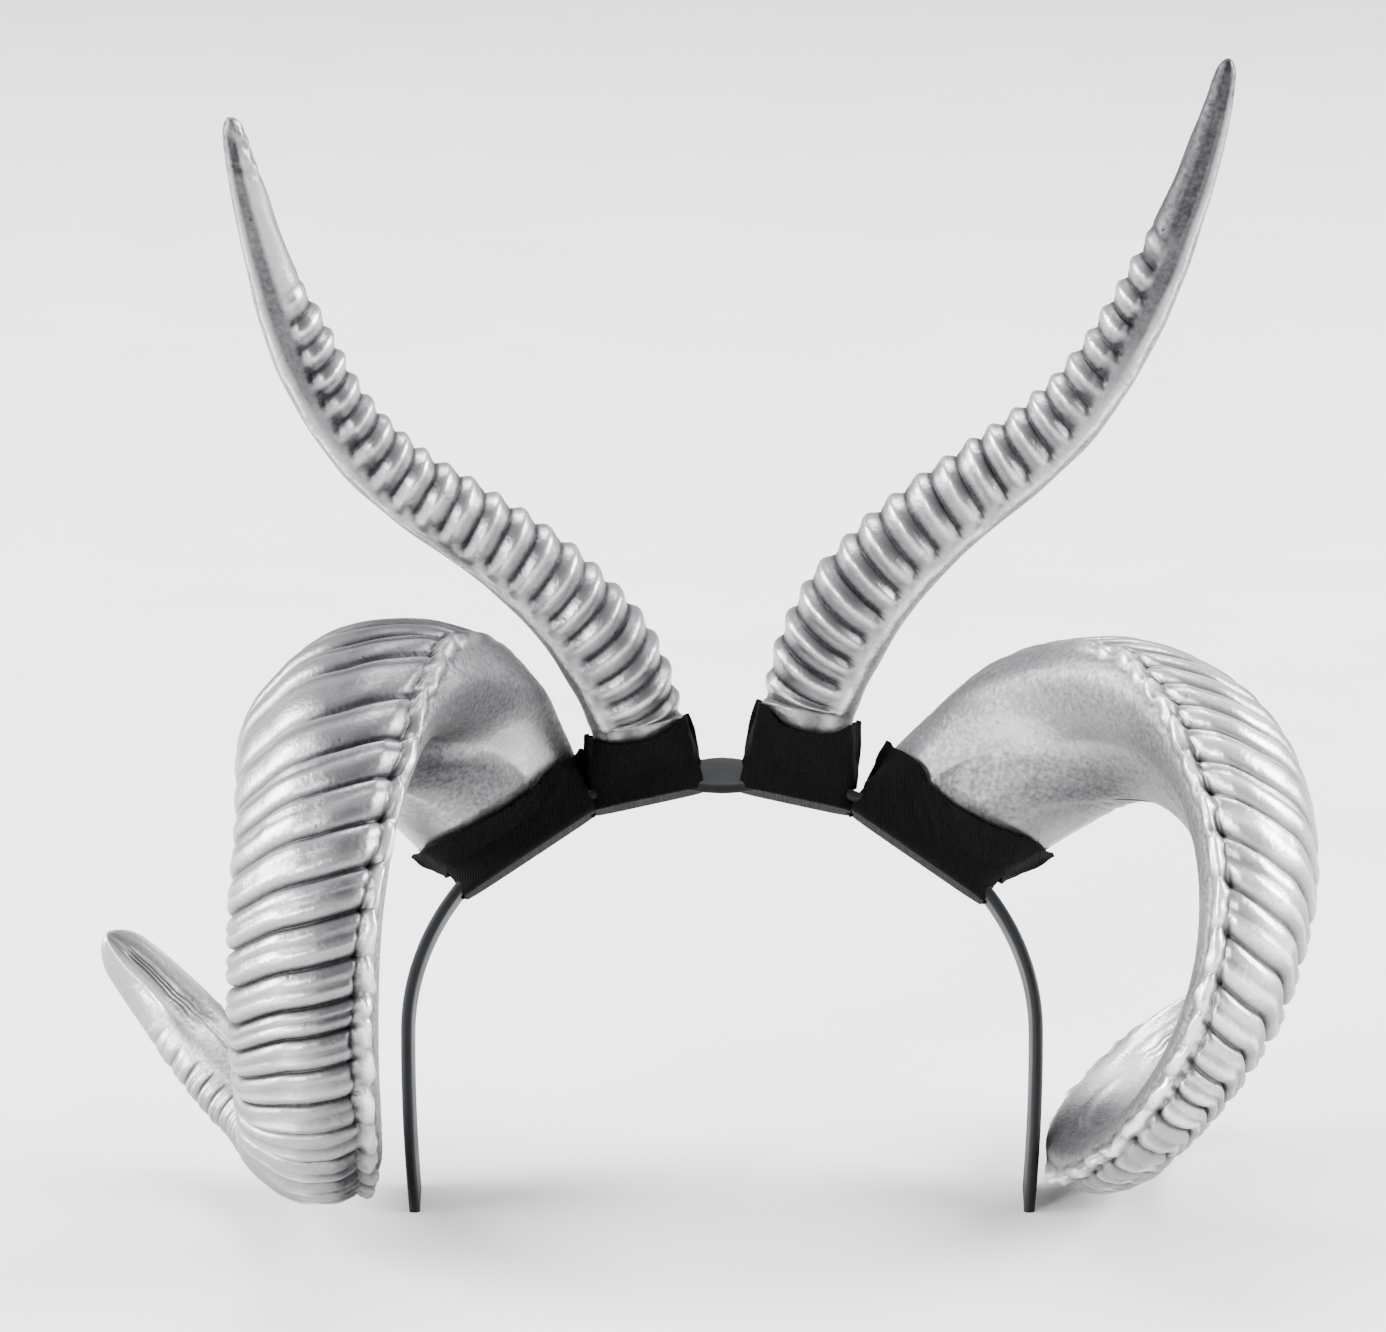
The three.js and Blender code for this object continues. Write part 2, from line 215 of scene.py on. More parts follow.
@dataclass(frozen=True)
class Stretch:
    """A stretch of a horn, eased in between two shares of its length and eased out between two more."""

    start: float
    full: float
    fade: float
    end: float

    def __call__(self, t: Array) -> Array:
        """How far each place lies in the stretch, from 0 to 1."""
        return smoothstep(self.start, self.full, t) * (1 - smoothstep(self.fade, self.end, t))


def turn_about(axis: str, degrees: float) -> Array:
    """A turn about a main axis as a 3 by 3 matrix."""
    return np.array(Matrix.Rotation(math.radians(degrees), 3, axis))


def deselect() -> None:
    """Leave edit mode and deselect every object."""
    if bpy.context.object and bpy.context.object.mode != "OBJECT":
        bpy.ops.object.mode_set(mode="OBJECT")
    bpy.ops.object.select_all(action="DESELECT")


def apply_modifier(piece: bpy.types.Object, kind: str, **settings: object) -> None:
    """Add a modifier to the active piece and apply it.

    Args:
        piece: The piece to change.
        kind: Blender's name for the modifier.
        settings: Values of the modifier's fields.
    """
    modifier = piece.modifiers.new(kind.title(), kind)
    for key, value in settings.items():
        setattr(modifier, key, value)
    bpy.context.view_layer.objects.active = piece
    bpy.ops.object.modifier_apply(modifier=modifier.name)


def roll_grid(
    name: str, around: int, along: int, origin: Array, wrap: Wrap, capped: bool = True
) -> bpy.types.Object:
    """Add a flat grid and roll it into a tube.

    Args:
        name: The piece's name.
        around: Faces round the tube.
        along: Faces along it.
        origin: The crown's place in the frame, in millimetres.
        wrap: Gives points, and named values there, for shares round and shares along.
        capped: Whether the tube's open ends are filled.

    Returns:
        The new piece, smooth shaded, with its flat layout kept as its UV map.
    """
    deselect()
    bpy.ops.mesh.primitive_grid_add(x_subdivisions=around, y_subdivisions=along, size=1, calc_uvs=True)
    piece = bpy.context.object
    piece.name = piece.data.name = name
    mesh = piece.data
    flat = np.zeros(len(mesh.vertices) * 3, np.float32)
    mesh.vertices.foreach_get("co", flat)
    flat = flat.reshape(-1, 3) + 0.5
    column = np.rint(flat[:, 0] * around).astype(int)
    row = np.rint(flat[:, 1] * along).astype(int)
    points, values = wrap(np.linspace(0, 1, around + 1), np.linspace(0, 1, along + 1))
    placed = (points[row, column] + origin) * MM
    mesh.vertices.foreach_set("co", placed.astype(np.float32).ravel())
    for key, value in values.items():
        attribute = mesh.attributes.new(key, "FLOAT", "POINT")
        attribute.data.foreach_set("value", value[row, column].astype(np.float32))
    bpy.ops.object.mode_set(mode="EDIT")
    bpy.ops.mesh.select_all(action="SELECT")
    bpy.ops.mesh.remove_doubles(threshold=1e-7)
    bpy.ops.mesh.select_mode(type="EDGE")
    bpy.ops.mesh.select_all(action="DESELECT")
    if capped:
        bpy.ops.mesh.select_non_manifold(extend=False)
        bpy.ops.mesh.fill_holes(sides=0)
    bpy.ops.mesh.select_all(action="SELECT")
    bpy.ops.mesh.normals_make_consistent(inside=False)
    bpy.ops.object.mode_set(mode="OBJECT")
    bpy.ops.object.shade_smooth()
    return piece


@dataclass(frozen=True)
class BandSeat:
    """A place on the band's outer face, with the directions out of, along and across the band."""

    point: Array
    normal: Array
    outward: Array
    across: Array


@dataclass
class Band:
    """The arched plastic strip that holds the horns and stands on its two level ends."""

    crown: Array
    half_span: float = 89.0
    rise: float = 73.0
    width: float = 22.0
    thick: float = 3.0
    sweep_back: float = 20.0
    drop: float = 112.5
    tuck_in: float = 5.0
    arch_steps: int = 120
    arm_steps: int = 10
    edge_round: float = 1.2
    edge_steps: int = 5
    crown_tilt: float = 24.0
    side_tilt: float = 0.0
    tilt_reach: float = 30.0

    @classmethod
    def from_frame(cls) -> Band:
        """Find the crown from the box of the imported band.

        Returns:
            The band, with its crown in the frame in millimetres.
        """
        low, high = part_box("headband")
        lean = math.radians(cls.sweep_back)
        half_width = cls.width / 2 * MM
        crown = (
            (low.x + high.x) / 2,
            high.y - half_width * math.cos(lean),
            high.z - half_width * math.sin(lean),
        )
        return cls(np.array(crown) / MM)

    def in_plane(self, x: float, down: float) -> Array:
        """A point or direction in the band's leaning plane."""
        lean = math.radians(self.sweep_back)
        return np.array([x, -down * math.sin(lean), -down * math.cos(lean)])

    def seat(self, x: float, side: Side) -> BandSeat:
        """Where a horn is seated.

        Args:
            x: Distance from the crown across the head.
            side: The side of the head.

        Returns:
            The place on the outer face and its three directions.
        """
        down = self.rise * (1 - math.sqrt(1 - (x / self.half_span) ** 2))
        out = x / self.half_span**2
        up = (self.rise - down) / self.rise**2
        size = math.hypot(out, up)
        lean = math.radians(self.sweep_back)
        return BandSeat(
            self.in_plane(side.value * x, down),
            self.in_plane(side.value * out / size, -up / size),
            self.in_plane(side.value * up / size, out / size),
            np.array([0.0, math.cos(lean), -math.sin(lean)]),
        )

    def path(self) -> Array:
        """The strip's middle line from one end to the other, as rows of x and drop from the crown.

        Returns:
            Points along the strip's middle.
        """
        inset = self.thick / 2
        turn = np.linspace(0, math.pi / 2, self.arch_steps // 2 + 1)
        arch = np.stack(
            [
                (self.half_span - inset) * np.sin(turn),
                self.rise - (self.rise - inset) * np.cos(turn),
            ],
            axis=-1,
        )
        arm_end = (self.drop + self.width) / math.cos(math.radians(self.sweep_back))
        share = np.linspace(0, 1, self.arm_steps + 1)[1:]
        arm = np.stack(
            [
                self.half_span - inset - self.tuck_in * share**2,
                self.rise + (arm_end - self.rise) * share,
            ],
            axis=-1,
        )
        half = np.concatenate([arch, arm])
        return np.concatenate([half[:0:-1] * [-1, 1], half])

    def section(self) -> Array:
        """The strip's rounded section, as rows of distance along its face and out of it.

        Returns:
            Points round the section.
        """
        half_width = self.width / 2
        half_thick = self.thick / 2
        turn = np.linspace(0, math.pi / 2, self.edge_steps)
        bend = np.stack([np.cos(turn), np.sin(turn)], axis=-1) * self.edge_round
        corner = bend + [half_width - self.edge_round, half_thick - self.edge_round]
        upper = np.concatenate([corner, corner[::-1] * [-1, 1]])
        return np.concatenate([upper, -upper])

    def tilt_face(self, mesh: bpy.types.Mesh) -> None:
        """Tip the strip's face back a little, most at the crown, as it lies on a round head.

        Args:
            mesh: The upright strip, still about the crown.
        """
        middle = Vector((0, 0, -self.rise * MM))
        for vertex in mesh.vertices:
            near = float(smoothstep(self.tilt_reach, 0, np.array(abs(vertex.co.x) / MM)))
            tilt = self.side_tilt + (self.crown_tilt - self.side_tilt) * near
            arch = Vector((vertex.co.x, 0, max(vertex.co.z - middle.z, 0)))
            vertex.co += arch.normalized() * (vertex.co.y * math.tan(math.radians(tilt)))

    def build(self, name: str) -> bpy.types.Object:
        """Draw the strip out along its arch, a step at a time, and cut its ends off level.

        Args:
            name: The piece's name.

        Returns:
            The strip, in its place in the frame.
        """
        path = self.path() * [MM, -MM]
        section = self.section() * MM
        deselect()
        bpy.ops.mesh.primitive_circle_add(vertices=len(section), fill_type="NGON")
        strip = bpy.context.object
        strip.name = strip.data.name = name
        run = np.diff(path, axis=0)
        heading = np.arctan2(run[:, 1], run[:, 0])
        out = np.array([-math.sin(heading[0]), math.cos(heading[0])])
        for vertex, (across, off) in zip(strip.data.vertices, section):
            vertex.co = (path[0, 0] + off * out[0], across, path[0, 1] + off * out[1])
        bpy.ops.object.mode_set(mode="EDIT")
        bpy.ops.mesh.select_all(action="SELECT")
        for i, step in enumerate(run):
            bpy.ops.mesh.extrude_region_move(TRANSFORM_OT_translate={"value": (step[0], 0, step[1])})
            if i + 1 < len(run):
                here = path[i + 1]
                turn = math.remainder(heading[i + 1] - heading[i], TAU)
                bpy.ops.transform.rotate(
                    value=turn, orient_axis="Y", center_override=(here[0], 0, here[1])
                )
        bpy.ops.mesh.select_all(action="SELECT")
        bpy.ops.mesh.normals_make_consistent(inside=False)
        bpy.ops.object.mode_set(mode="OBJECT")
        self.tilt_face(strip.data)
        lean = Matrix.Rotation(-math.radians(self.sweep_back), 4, "X")
        strip.data.transform(Matrix.Translation(Vector(self.crown * MM)) @ lean)
        bpy.ops.object.mode_set(mode="EDIT")
        bpy.ops.mesh.select_all(action="SELECT")
        bpy.ops.mesh.bisect(plane_co=(0, 0, 0), plane_no=(0, 0, 1), use_fill=True, clear_inner=True)
        bpy.ops.object.mode_set(mode="OBJECT")
        bpy.ops.object.shade_smooth_by_angle(angle=math.radians(40))
        return strip


@dataclass(frozen=True)
class SeatSize:
    """The foot of a horn on the band, and the hem and rim of the sleeve round it."""

    along: float
    across: float
    shift: float
    hem_along: float
    hem_shift: float
    rim_at: float
    cut: tuple[float, float]
    squareness: float = 5.0


@dataclass(frozen=True)
class Rings:
    """The directions of a horn's cross sections, one row for each place along it."""

    centre: Array
    first: Array
    second: Array
    run: Array


@dataclass
class Horn(ABC):
    """A moulded foam horn: a spine, a section round it and the relief on its skin."""

    side: Side
    band: Band
    kind: ClassVar[str]
    around: ClassVar[int]
    along: ClassVar[int]
    seat_size: ClassVar[SeatSize]
    foot_height: ClassVar[float] = 0.6
    foot_inset: ClassVar[float] = 3.0
    foot_share: ClassVar[float] = 0.02
    level_angle: ClassVar[float] = 30.0
    fine_steps: ClassVar[int] = 2400
    spare_rows: ClassVar[float] = 12.0
    groove_rows: ClassVar[float] = 2.6
    groove_crowd: ClassVar[Bump] = Bump(0, 0.09)
    tip_rows: ClassVar[float] = 6.0
    tip_crowd: ClassVar[Bump] = Bump(1, 0.012)
    straight_root: ClassVar[float] = 0.14
    straight_tip: ClassVar[tuple[float, float]] = (0.84, 0.97)

    @property
    def name(self) -> str:
        """The horn's piece name, which is its node's with a finish to it."""
        return f"{self.kind}_horn_{self.side.word}_painted"

    @property
    def node(self) -> str:
        """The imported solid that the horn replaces."""
        return f"{self.kind}_horn_{self.side.word}"

    @property
    @abstractmethod
    def seat(self) -> BandSeat:
        """Where the horn stands on the band."""

    @abstractmethod
    def rings(self, t: Array) -> Rings:
        """The horn's sections at shares of its length."""

    @abstractmethod
    def reach(self, t: Array, angle: Array) -> Array:
        """The smooth section's reach from the spine."""

    @abstractmethod
    def phase(self, t: Array, angle: Array) -> Array:
        """Ribs counted from the root, whole numbers in the grooves between them."""

    @abstractmethod
    def relief(self, t: Array, angle: Array) -> tuple[Array, dict[str, Array]]:
        """Height of the skin over the smooth section, and marks from 0 to 1 for the painted shade, painted
        highlight and satin that its paint goes by.
        """

    @abstractmethod
    def angles(self, share: Array) -> Array:
        """Degrees round the horn for shares round the grid, closest where the skin has most detail."""

    @abstractmethod
    def seat_parts(self, angle: Array) -> tuple[Array, Array]:
        """An angle round the horn as parts along and across the band."""

    def slanted(self, points: Array, rings: Rings, t: Array) -> Array:
        """The sections' points after any lean of the sections along the horn."""
        return points

    def surface(self, t: Array, angle: Array, height: Array | float) -> Array:
        """Points on the horn.

        Args:
            t: Shares of its length.
            angle: Degrees round it.
            height: Height over the smooth section.

        Returns:
            Points about the crown, one for each place where the three meet.
        """
        t, angle = np.broadcast_arrays(t, angle)
        rings = self.rings(t)
        turn = np.radians(angle)[..., None]
        reach = (self.reach(t, angle) + height)[..., None]
        points = rings.centre + (rings.first * np.cos(turn) + rings.second * np.sin(turn)) * reach
        return self.slanted(points, rings, t)

    def row_places(self, along: Array, angle: Array) -> Array:
        """Where the grid's rows lie on the horn, following the ribs and crowding into their grooves.

        Args:
            along: Shares along the grid.
            angle: Degrees round the horn.

        Returns:
            Shares of the horn's length, by row and by column.
        """
        rim = self.seat_size.rim_at
        fine = np.linspace(rim, 1, self.fine_steps)
        level = self.phase(fine, np.array(self.level_angle))
        crowd = 1 + self.groove_rows * self.groove_crowd(level - np.rint(level))
        crowd = crowd * (1 + self.tip_rows * self.tip_crowd(fine))
        rate = (np.gradient(level, fine) + self.spare_rows) * crowd
        rows = np.concatenate([[0], np.cumsum(rate[1:] + rate[:-1])])
        straight = np.interp((along - self.foot_share) / (1 - self.foot_share), rows / rows[-1], fine)
        target = np.interp(straight, fine, level)
        bent = np.stack([np.interp(target, self.phase(fine, one), fine) for one in angle], axis=1)
        straight = straight[:, None]
        follow = Stretch(rim, rim + self.straight_root, *self.straight_tip)
        return straight + follow(straight) * (bent - straight)

    def seat_ring(self, angle: Array, height: float, along: float, across: float, shift: float) -> Array:
        """A rounded oblong ring that lies on the band.

        Args:
            angle: Degrees round the horn.
            height: Height over the band's outer face.
            along: Length along the band.
            across: Width across it.
            shift: How far its middle moves outwards along the band.

        Returns:
            Points about the crown.
        """
        power = self.seat_size.squareness
        part_along, part_across = self.seat_parts(angle)
        size = np.abs(2 * part_along / along) ** power + np.abs(2 * part_across / across) ** power
        scale = size ** (-1 / power)
        middle = self.seat.point + self.seat.normal * height + self.seat.outward * shift
        spread = np.outer(part_along * scale, self.seat.outward)
        return middle + spread + np.outer(part_across * scale, self.seat.across)

    def build(self) -> bpy.types.Object:
        """Roll the horn's skin from a grid.

        Returns:
            The horn, with its painted shade and painted highlights marked for the paint.
        """
        size = self.seat_size

        def wrap(around: Array, along: Array) -> tuple[Array, dict[str, Array]]:
            """Points on the skin, and the paint's marks there.

            Args:
                around: Shares round the grid.
                along: Shares along the grid.

            Returns:
                Points about the crown, and the marks that the paint goes by.
            """
            angle = self.angles(around)
            t = self.row_places(along, angle)
            height, marks = self.relief(t, angle[None, :])
            points = self.surface(t, angle[None, :], height)
            foot = self.seat_ring(
                angle,
                self.foot_height,
                size.along - self.foot_inset,
                size.across - self.foot_inset,
                size.shift,
            )
            lift = np.clip(along / self.foot_share, 0, 1)[:, None, None]
            return foot[None] * (1 - lift) + points * lift, marks

        return roll_grid(self.name, self.around, self.along, self.band.crown, wrap)


@dataclass(frozen=True)
class PaintedLightPatch:
    """A soft patch of painted shade on a horn, or of painted light where its strength is below 0."""

    at: float
    half_length: float
    angle: float
    half_angle: float
    strength: float

    def amount(self, t: Array, angle: Array) -> Array:
        """The patch's strength at places along and round the horn.

        Args:
            t: Shares of the horn's length.
            angle: Degrees round it.

        Returns:
            The patch's strength: painted shade above 0, painted light below 0.
        """
        along = (t - self.at) / self.half_length
        around = half_turn(angle - self.angle) / self.half_angle
        return self.strength * np.exp(-(along**4) - around**4)


@dataclass(frozen=True)
class TipLines:
    """The fine grooves that fan out up the inner face of a curled horn's tip."""

    stretch: Stretch = Stretch(0.85, 0.9, 0.965, 0.985)
    middle: float = 214.0
    spacing: float = 24.0
    half_width: float = 7.0
    fan: float = 30.0
    fan_from: float = 0.92
    waver: float = 3.0
    waver_rate: float = 25.0
    depth: float = 0.95

    def amount(self, t: Array, angle: Array, seed: int) -> Array:
        """How far each place lies in a groove, from 0 to 1.

        Args:
            t: Shares of the horn's length.
            angle: Degrees round it, from 0 to 360.
            seed: Seed of the grooves' wobble.

        Returns:
            The share at each place.
        """
        wavering = angle + self.waver * Ripple(seed, (self.waver_rate,))(t)
        spread = self.fan * (t - self.fan_from)
        lines = sum(
            hump(wavering + spread * k, self.middle + self.spacing * k, self.half_width) for k in (-1, 0, 1)
        )
        return self.stretch(t) * lines


@dataclass(frozen=True)
class RibPlaces:
    """Where the points of a curled horn's skin lie among its ribs.

    The turn is in degrees and the arc in millimetres from the keel ridge, both positive over the ribs. The
    rest are shares, and each rib's own draws of its shape and of the strength of its painted shade and
    highlight.
    """

    width: Array
    turn: Array
    arc: Array
    phase: Array
    over: Array
    ribbed: Array
    side: Array
    share: Array
    bend: Array
    swell: Array
    streak: Array
    split: Array
    double: Array


@dataclass(frozen=True)
class RopeSkin:
    """The keel ridge over a horn's skin: its height, and shares of its beads and lines."""

    on_rope: Array
    beads: Array
    height: Array
    crack: Array
    back_line: Array


@dataclass(frozen=True)
class KeelRope:
    """The lumpy ridge along a curled horn's keel, a bead to each rib, with a crack on its ribbed side."""

    height: float = 2.0
    half_width: float = 2.1
    share: Table = ((0, 1), (1, 1))
    root_share: float = 0.2
    full_at: tuple[float, float] = (0.11, 0.2)
    tip_fade: tuple[float, float] = (0.03, 0.14)
    full_width: float = 24.0
    bead_round: float = 0.55
    bead_skew: float = 0.08
    sway: float = 0.5
    crack_off: float = 3.1
    crack_half: float = 0.65
    crack_depth: float = 1.3
    line_off: float = 2.5
    line_half: float = 0.6
    line_depth: float = 0.3
    end_from: float = 2.0
    end_reach: float = 6.0
    end_drop: float = 0.7

    def lay(self, t: Array, ribs: RibPlaces, seed: int) -> RopeSkin:
        """Lay the ridge along the keel.

        Args:
            t: Shares of the horn's length.
            ribs: Where the skin lies among the ribs.
            seed: Seed of the horn's wobbles.

        Returns:
            The ridge, with the crack beside it, the line behind it and the rounded ends of the ribs.
        """
        wander = Ripple(seed + 2, (14,))(t)
        lumps = Ripple(seed + 5, (32, 0.3))(t, ribs.arc)
        bead_turn = ribs.phase + 0.12 * wander + self.bead_skew * ribs.arc
        bead = np.abs(np.sin(math.pi * bead_turn)) ** self.bead_round
        arc = ribs.arc - self.sway * Ripple(seed + 3, (22,))(t)

        roped = self.root_share + (1 - self.root_share) * smoothstep(*self.full_at, t)
        roped = roped * smoothstep(*self.tip_fade, 1 - t) * read_table(self.share, t)
        roped = roped * np.minimum(ribs.width / self.full_width, 1)
        half_width = self.half_width * (0.55 + 0.55 * bead + 0.12 * lumps)
        on_rope = np.exp(-np.abs((arc - 0.5 * bead) / half_width) ** 3)
        raised = self.height * (0.1 + 0.9 * bead + 0.15 * lumps) * on_rope * roped

        crack_arc = arc - self.crack_off - 0.35 * wander - 0.2 * lumps
        crack = hump(crack_arc, 0, self.crack_half) * (1 - 0.5 * bead) * roped * ribs.ribbed
        back_line = self.line_depth * hump(arc, -self.line_off, self.line_half) * roped
        rib_end = (1 - np.clip((ribs.arc - self.end_from) / self.end_reach, 0, 1)) ** 2
        rib_end = rib_end * smoothstep(1.2, 2.4, ribs.arc) * roped * ribs.ribbed
        height = raised - self.crack_depth * crack - back_line - self.end_drop * rib_end
        return RopeSkin(on_rope, on_rope * bead * roped, height, crack, back_line)


@dataclass
class RamHorn(Horn):
    """The big curled horn: ribbed round its outward face, with a lumpy keel ridge and two smooth faces."""

    kind: ClassVar[str] = "ram"
    around: ClassVar[int] = 128
    along: ClassVar[int] = 700
    seat_size: ClassVar[SeatSize] = SeatSize(40, 19, 2, 45.5, 1.2, 0.02, (58, 62))

    root: tuple[float, float, float] = (0, 0, 0)
    root_inset: tuple[float, float, float] = (0, 0, 0)
    yaw: float = 0
    pitch: float = 0
    roll: float = 0
    seat_x: float = 56

    start_turn: float = -59
    sweep: float = 360
    coil_radius: float = 56
    coil_tighten: float = 0.25
    coil_oval: float = 0.35
    reach_out: float = 115
    reach_early: float = 0.62
    twist_start: float = -8
    twist_grow: float = 27
    tip_round: float = 0.03
    rib_slant: float = 0.18
    settle: float = 0.15
    near: float = 1e-4

    rib_fade: float = 0.25
    rib_end: float = 153.0
    rib_end_soft: float = 30.0
    rib_end_drop: float = 30.0
    ridge: Table = ((0, -45), (1, -45))
    ridge_reach: float = 0.52
    fill: Table = ((0, 0), (1, 0))
    fill_at: Table = ((0, 0), (1, 0))
    grooves: tuple[float, ...] = (0.05, 0.9)
    keel_lag: Table = ((0, 0), (1, 0))
    outer_lag: Table = ((0, 0), (1, 0))
    lag_reach: float = 70.0
    rope: KeelRope = KeelRope()
    dish: float = 0.5
    face_edge: float = 2.4
    spoon_lip: float = 0.6
    keel_shade: float = 0.0
    patches: tuple[PaintedLightPatch, ...] = ()
    seed: int = 11

    WIDTH: ClassVar[Table] = (
        (0, 46), (0.18, 53), (0.4, 34.5), (0.65, 29.5), (0.88, 20), (0.96, 14.5), (1, 10.5),
    )
    SECTION: ClassVar[Table] = (
        (-45, 0.515), (-20, 0.48), (0, 0.465), (45, 0.5), (90, 0.64), (135, 0.42),
        (180, 0.24), (225, 0.19), (270, 0.36), (292, 0.475), (315, 0.515),
    )
    DEPTH: ClassVar[Table] = ((0, 1.5), (0.2, 1.9), (0.4, 2.6), (0.75, 2.5), (0.9, 1.4), (1, 0.4))
    SPREAD: ClassVar[Table] = ((0, -100), (0.04, -90), (0.36, -26), (0.73, 130), (1, 260))

    RIBBED: ClassVar[Stretch] = Stretch(0.05, 0.09, 0.9, 0.94)
    LOW_RIBS: ClassVar[Stretch] = Stretch(0.26, 0.36, 0.76, 0.88)
    LOW_CURL: ClassVar[Stretch] = Stretch(0.3, 0.42, 0.74, 0.86)
    ROOT_PART: ClassVar[Stretch] = Stretch(0.02, 0.06, 0.3, 0.42)
    SPOON: ClassVar[Stretch] = Stretch(0.86, 0.91, 0.99, 1.0)

    # Places round the horn, in degrees, and the dish's place along it
    DISH_ALONG: ClassVar[Bump] = Bump(0.13, 0.08)
    DISH_ROUND: ClassVar[Bump] = Bump(232, 30)
    FACE_EDGE: ClassVar[Bump] = Bump(226, 13)
    UNDER_LINE: ClassVar[Bump] = Bump(128, 3)
    SPOON_RIMS: ClassVar[tuple[Bump, Bump]] = (Bump(158, 9), Bump(284, 8))
    TIP_LINES: ClassVar[TipLines] = TipLines()

    # Places across a rib, in shares of its width
    GROOVES: ClassVar[tuple[Bump, Bump]] = (Bump(0, 0.05), Bump(1, 0.065))
    SHADOWS: ClassVar[tuple[Bump, Bump]] = (Bump(0, 0.05), Bump(1, 0.09))
    FIRST_LIP: ClassVar[Bump] = Bump(0.12, 0.05)
    RIB_MIDDLE: ClassVar[Bump] = Bump(0.5, 0.27)
    SPLIT_AT: ClassVar[float] = 0.25
    SPLIT_SHIFT: ClassVar[float] = 0.22
    SPLIT_HALF: ClassVar[float] = 0.09

    # Shares of the length between which the second grooves shift and the lower ribs take on their look
    SPLIT_MOVES: ClassVar[tuple[float, float]] = (0.24, 0.31)
    LOWER: ClassVar[tuple[float, float]] = (0.28, 0.4)
    END_MOVES: ClassVar[tuple[float, float]] = (0.48, 0.6)

    # Each rib's draws: its height, its second groove's depth and place, and the strength of its painted shade
    # and highlight
    RIB_DRAWS: ClassVar[Table] = ((0.88, 1.1), (0.16, 0.4), (-0.04, 0.05), (0.55, 1.15))

    @property
    def seat(self) -> BandSeat:
        """Where the horn stands on the band."""
        return self.band.seat(self.seat_x, self.side)

    def spine(self, t: Array) -> tuple[Array, Array]:
        """The unturned coil and the direction away from its axis, at shares of its length.

        Args:
            t: Shares of the horn's length.

        Returns:
            Points along the coil, and unit directions away from its axis.
        """
        turn = np.radians(self.start_turn + self.sweep * t)
        outer = np.stack([0 * turn, -np.sin(turn), np.cos(turn)], axis=-1)
        radius = self.coil_radius * np.exp(-self.coil_tighten * t) * (1 + self.coil_oval * np.sin(TAU * t))
        out = self.reach_out * (self.reach_early * t + (1 - self.reach_early) * t * t)
        return outer * radius[..., None] + out[..., None] * np.array([self.side.value, 0, 0]), outer

    def rings(self, t: Array) -> Rings:
        """The horn's sections at shares of its length.

        Args:
            t: Shares of the horn's length.

        Returns:
            The sections' centres and directions.
        """
        axis = np.array([self.side.value, 0, 0])
        place, outer = self.spine(t)
        run = unit(self.spine(t + self.near)[0] - self.spine(t - self.near)[0])
        square = unit(outer - run * (outer * run).sum(-1, keepdims=True))
        outward = np.cross(square, run)
        outward *= np.sign(outward @ axis)[..., None]
        twist = np.radians(self.twist_start + self.twist_grow * t)[..., None]
        first = square * np.cos(twist) + outward * np.sin(twist)
        second = outward * np.cos(twist) - square * np.sin(twist)
        turn = turn_about("Z", self.yaw) @ turn_about("X", self.pitch) @ turn_about("Y", self.roll)
        unsettled = 1 - smoothstep(0, self.settle, t)[..., None]
        start = self.spine(np.zeros(1))[0]
        centre = (place - start) @ turn.T + np.array(self.root) + np.array(self.root_inset) * unsettled
        seat = self.seat
        first = unit((first @ turn.T) * (1 - unsettled) + seat.across * unsettled)
        second = unit((second @ turn.T) * (1 - unsettled) + seat.outward * unsettled)
        return Rings(centre, first, second, run @ turn.T)

    def width(self, t: Array) -> Array:
        """The horn's width, rounded off at the tip."""
        end = np.clip((t - 1 + self.tip_round) / self.tip_round, 0, 1)
        return read_table(self.WIDTH, t) * np.sqrt(np.maximum(1 - end * end, 0.002))

    def reach(self, t: Array, angle: Array) -> Array:
        """The smooth section's reach from the spine.

        Args:
            t: Shares of the horn's length.
            angle: Degrees round it.

        Returns:
            Millimetres from the spine.
        """
        facing = 0.5 + 0.5 * np.cos(np.radians(angle - read_table(self.fill_at, t)))
        fill = read_table(self.fill, t) * facing
        return self.width(t) * read_table(self.SECTION, np.mod(angle + 45, 360) - 45) + fill

    def angles(self, share: Array) -> Array:
        """Degrees round the horn, closest at the keel ridge."""
        places, degrees = zip(*self.SPREAD)
        return np.interp(share, places, degrees)

    def seat_parts(self, angle: Array) -> tuple[Array, Array]:
        """The section's second direction lies along the band and its first across it."""
        return np.sin(np.radians(angle)), np.cos(np.radians(angle))

    def slanted(self, points: Array, rings: Rings, t: Array) -> Array:
        """Lean the sections, so that the ribs run on ahead at their outward ends.

        Args:
            points: Points on the sections.
            rings: The sections.
            t: Shares of the horn's length.

        Returns:
            The points, moved along the horn.
        """
        slant = self.rib_slant * smoothstep(0, 2 * self.settle, t) * smoothstep(0, self.rib_fade, 1 - t)
        out = ((points - rings.centre) * rings.second).sum(-1)
        return points + rings.run * (slant * out)[..., None]

    def from_keel(self, t: Array, angle: Array) -> Array:
        """Degrees from the keel ridge, positive over the ribs."""
        return half_turn(angle - read_table(self.ridge, t))

    def phase(self, t: Array, angle: Array) -> Array:
        """Ribs counted from the root, whole numbers in the grooves between them.

        Args:
            t: Shares of the horn's length.
            angle: Degrees round it.

        Returns:
            The count at each place.
        """
        off = np.clip(self.from_keel(t, angle) / self.lag_reach - 1, -1, 0.7)
        lag = read_table(self.keel_lag, t) * np.minimum(off, 0) ** 2
        lag = lag + read_table(self.outer_lag, t) * np.maximum(off, 0) ** 1.5
        return read_table(tuple(zip(self.grooves, range(len(self.grooves)))), t - lag)

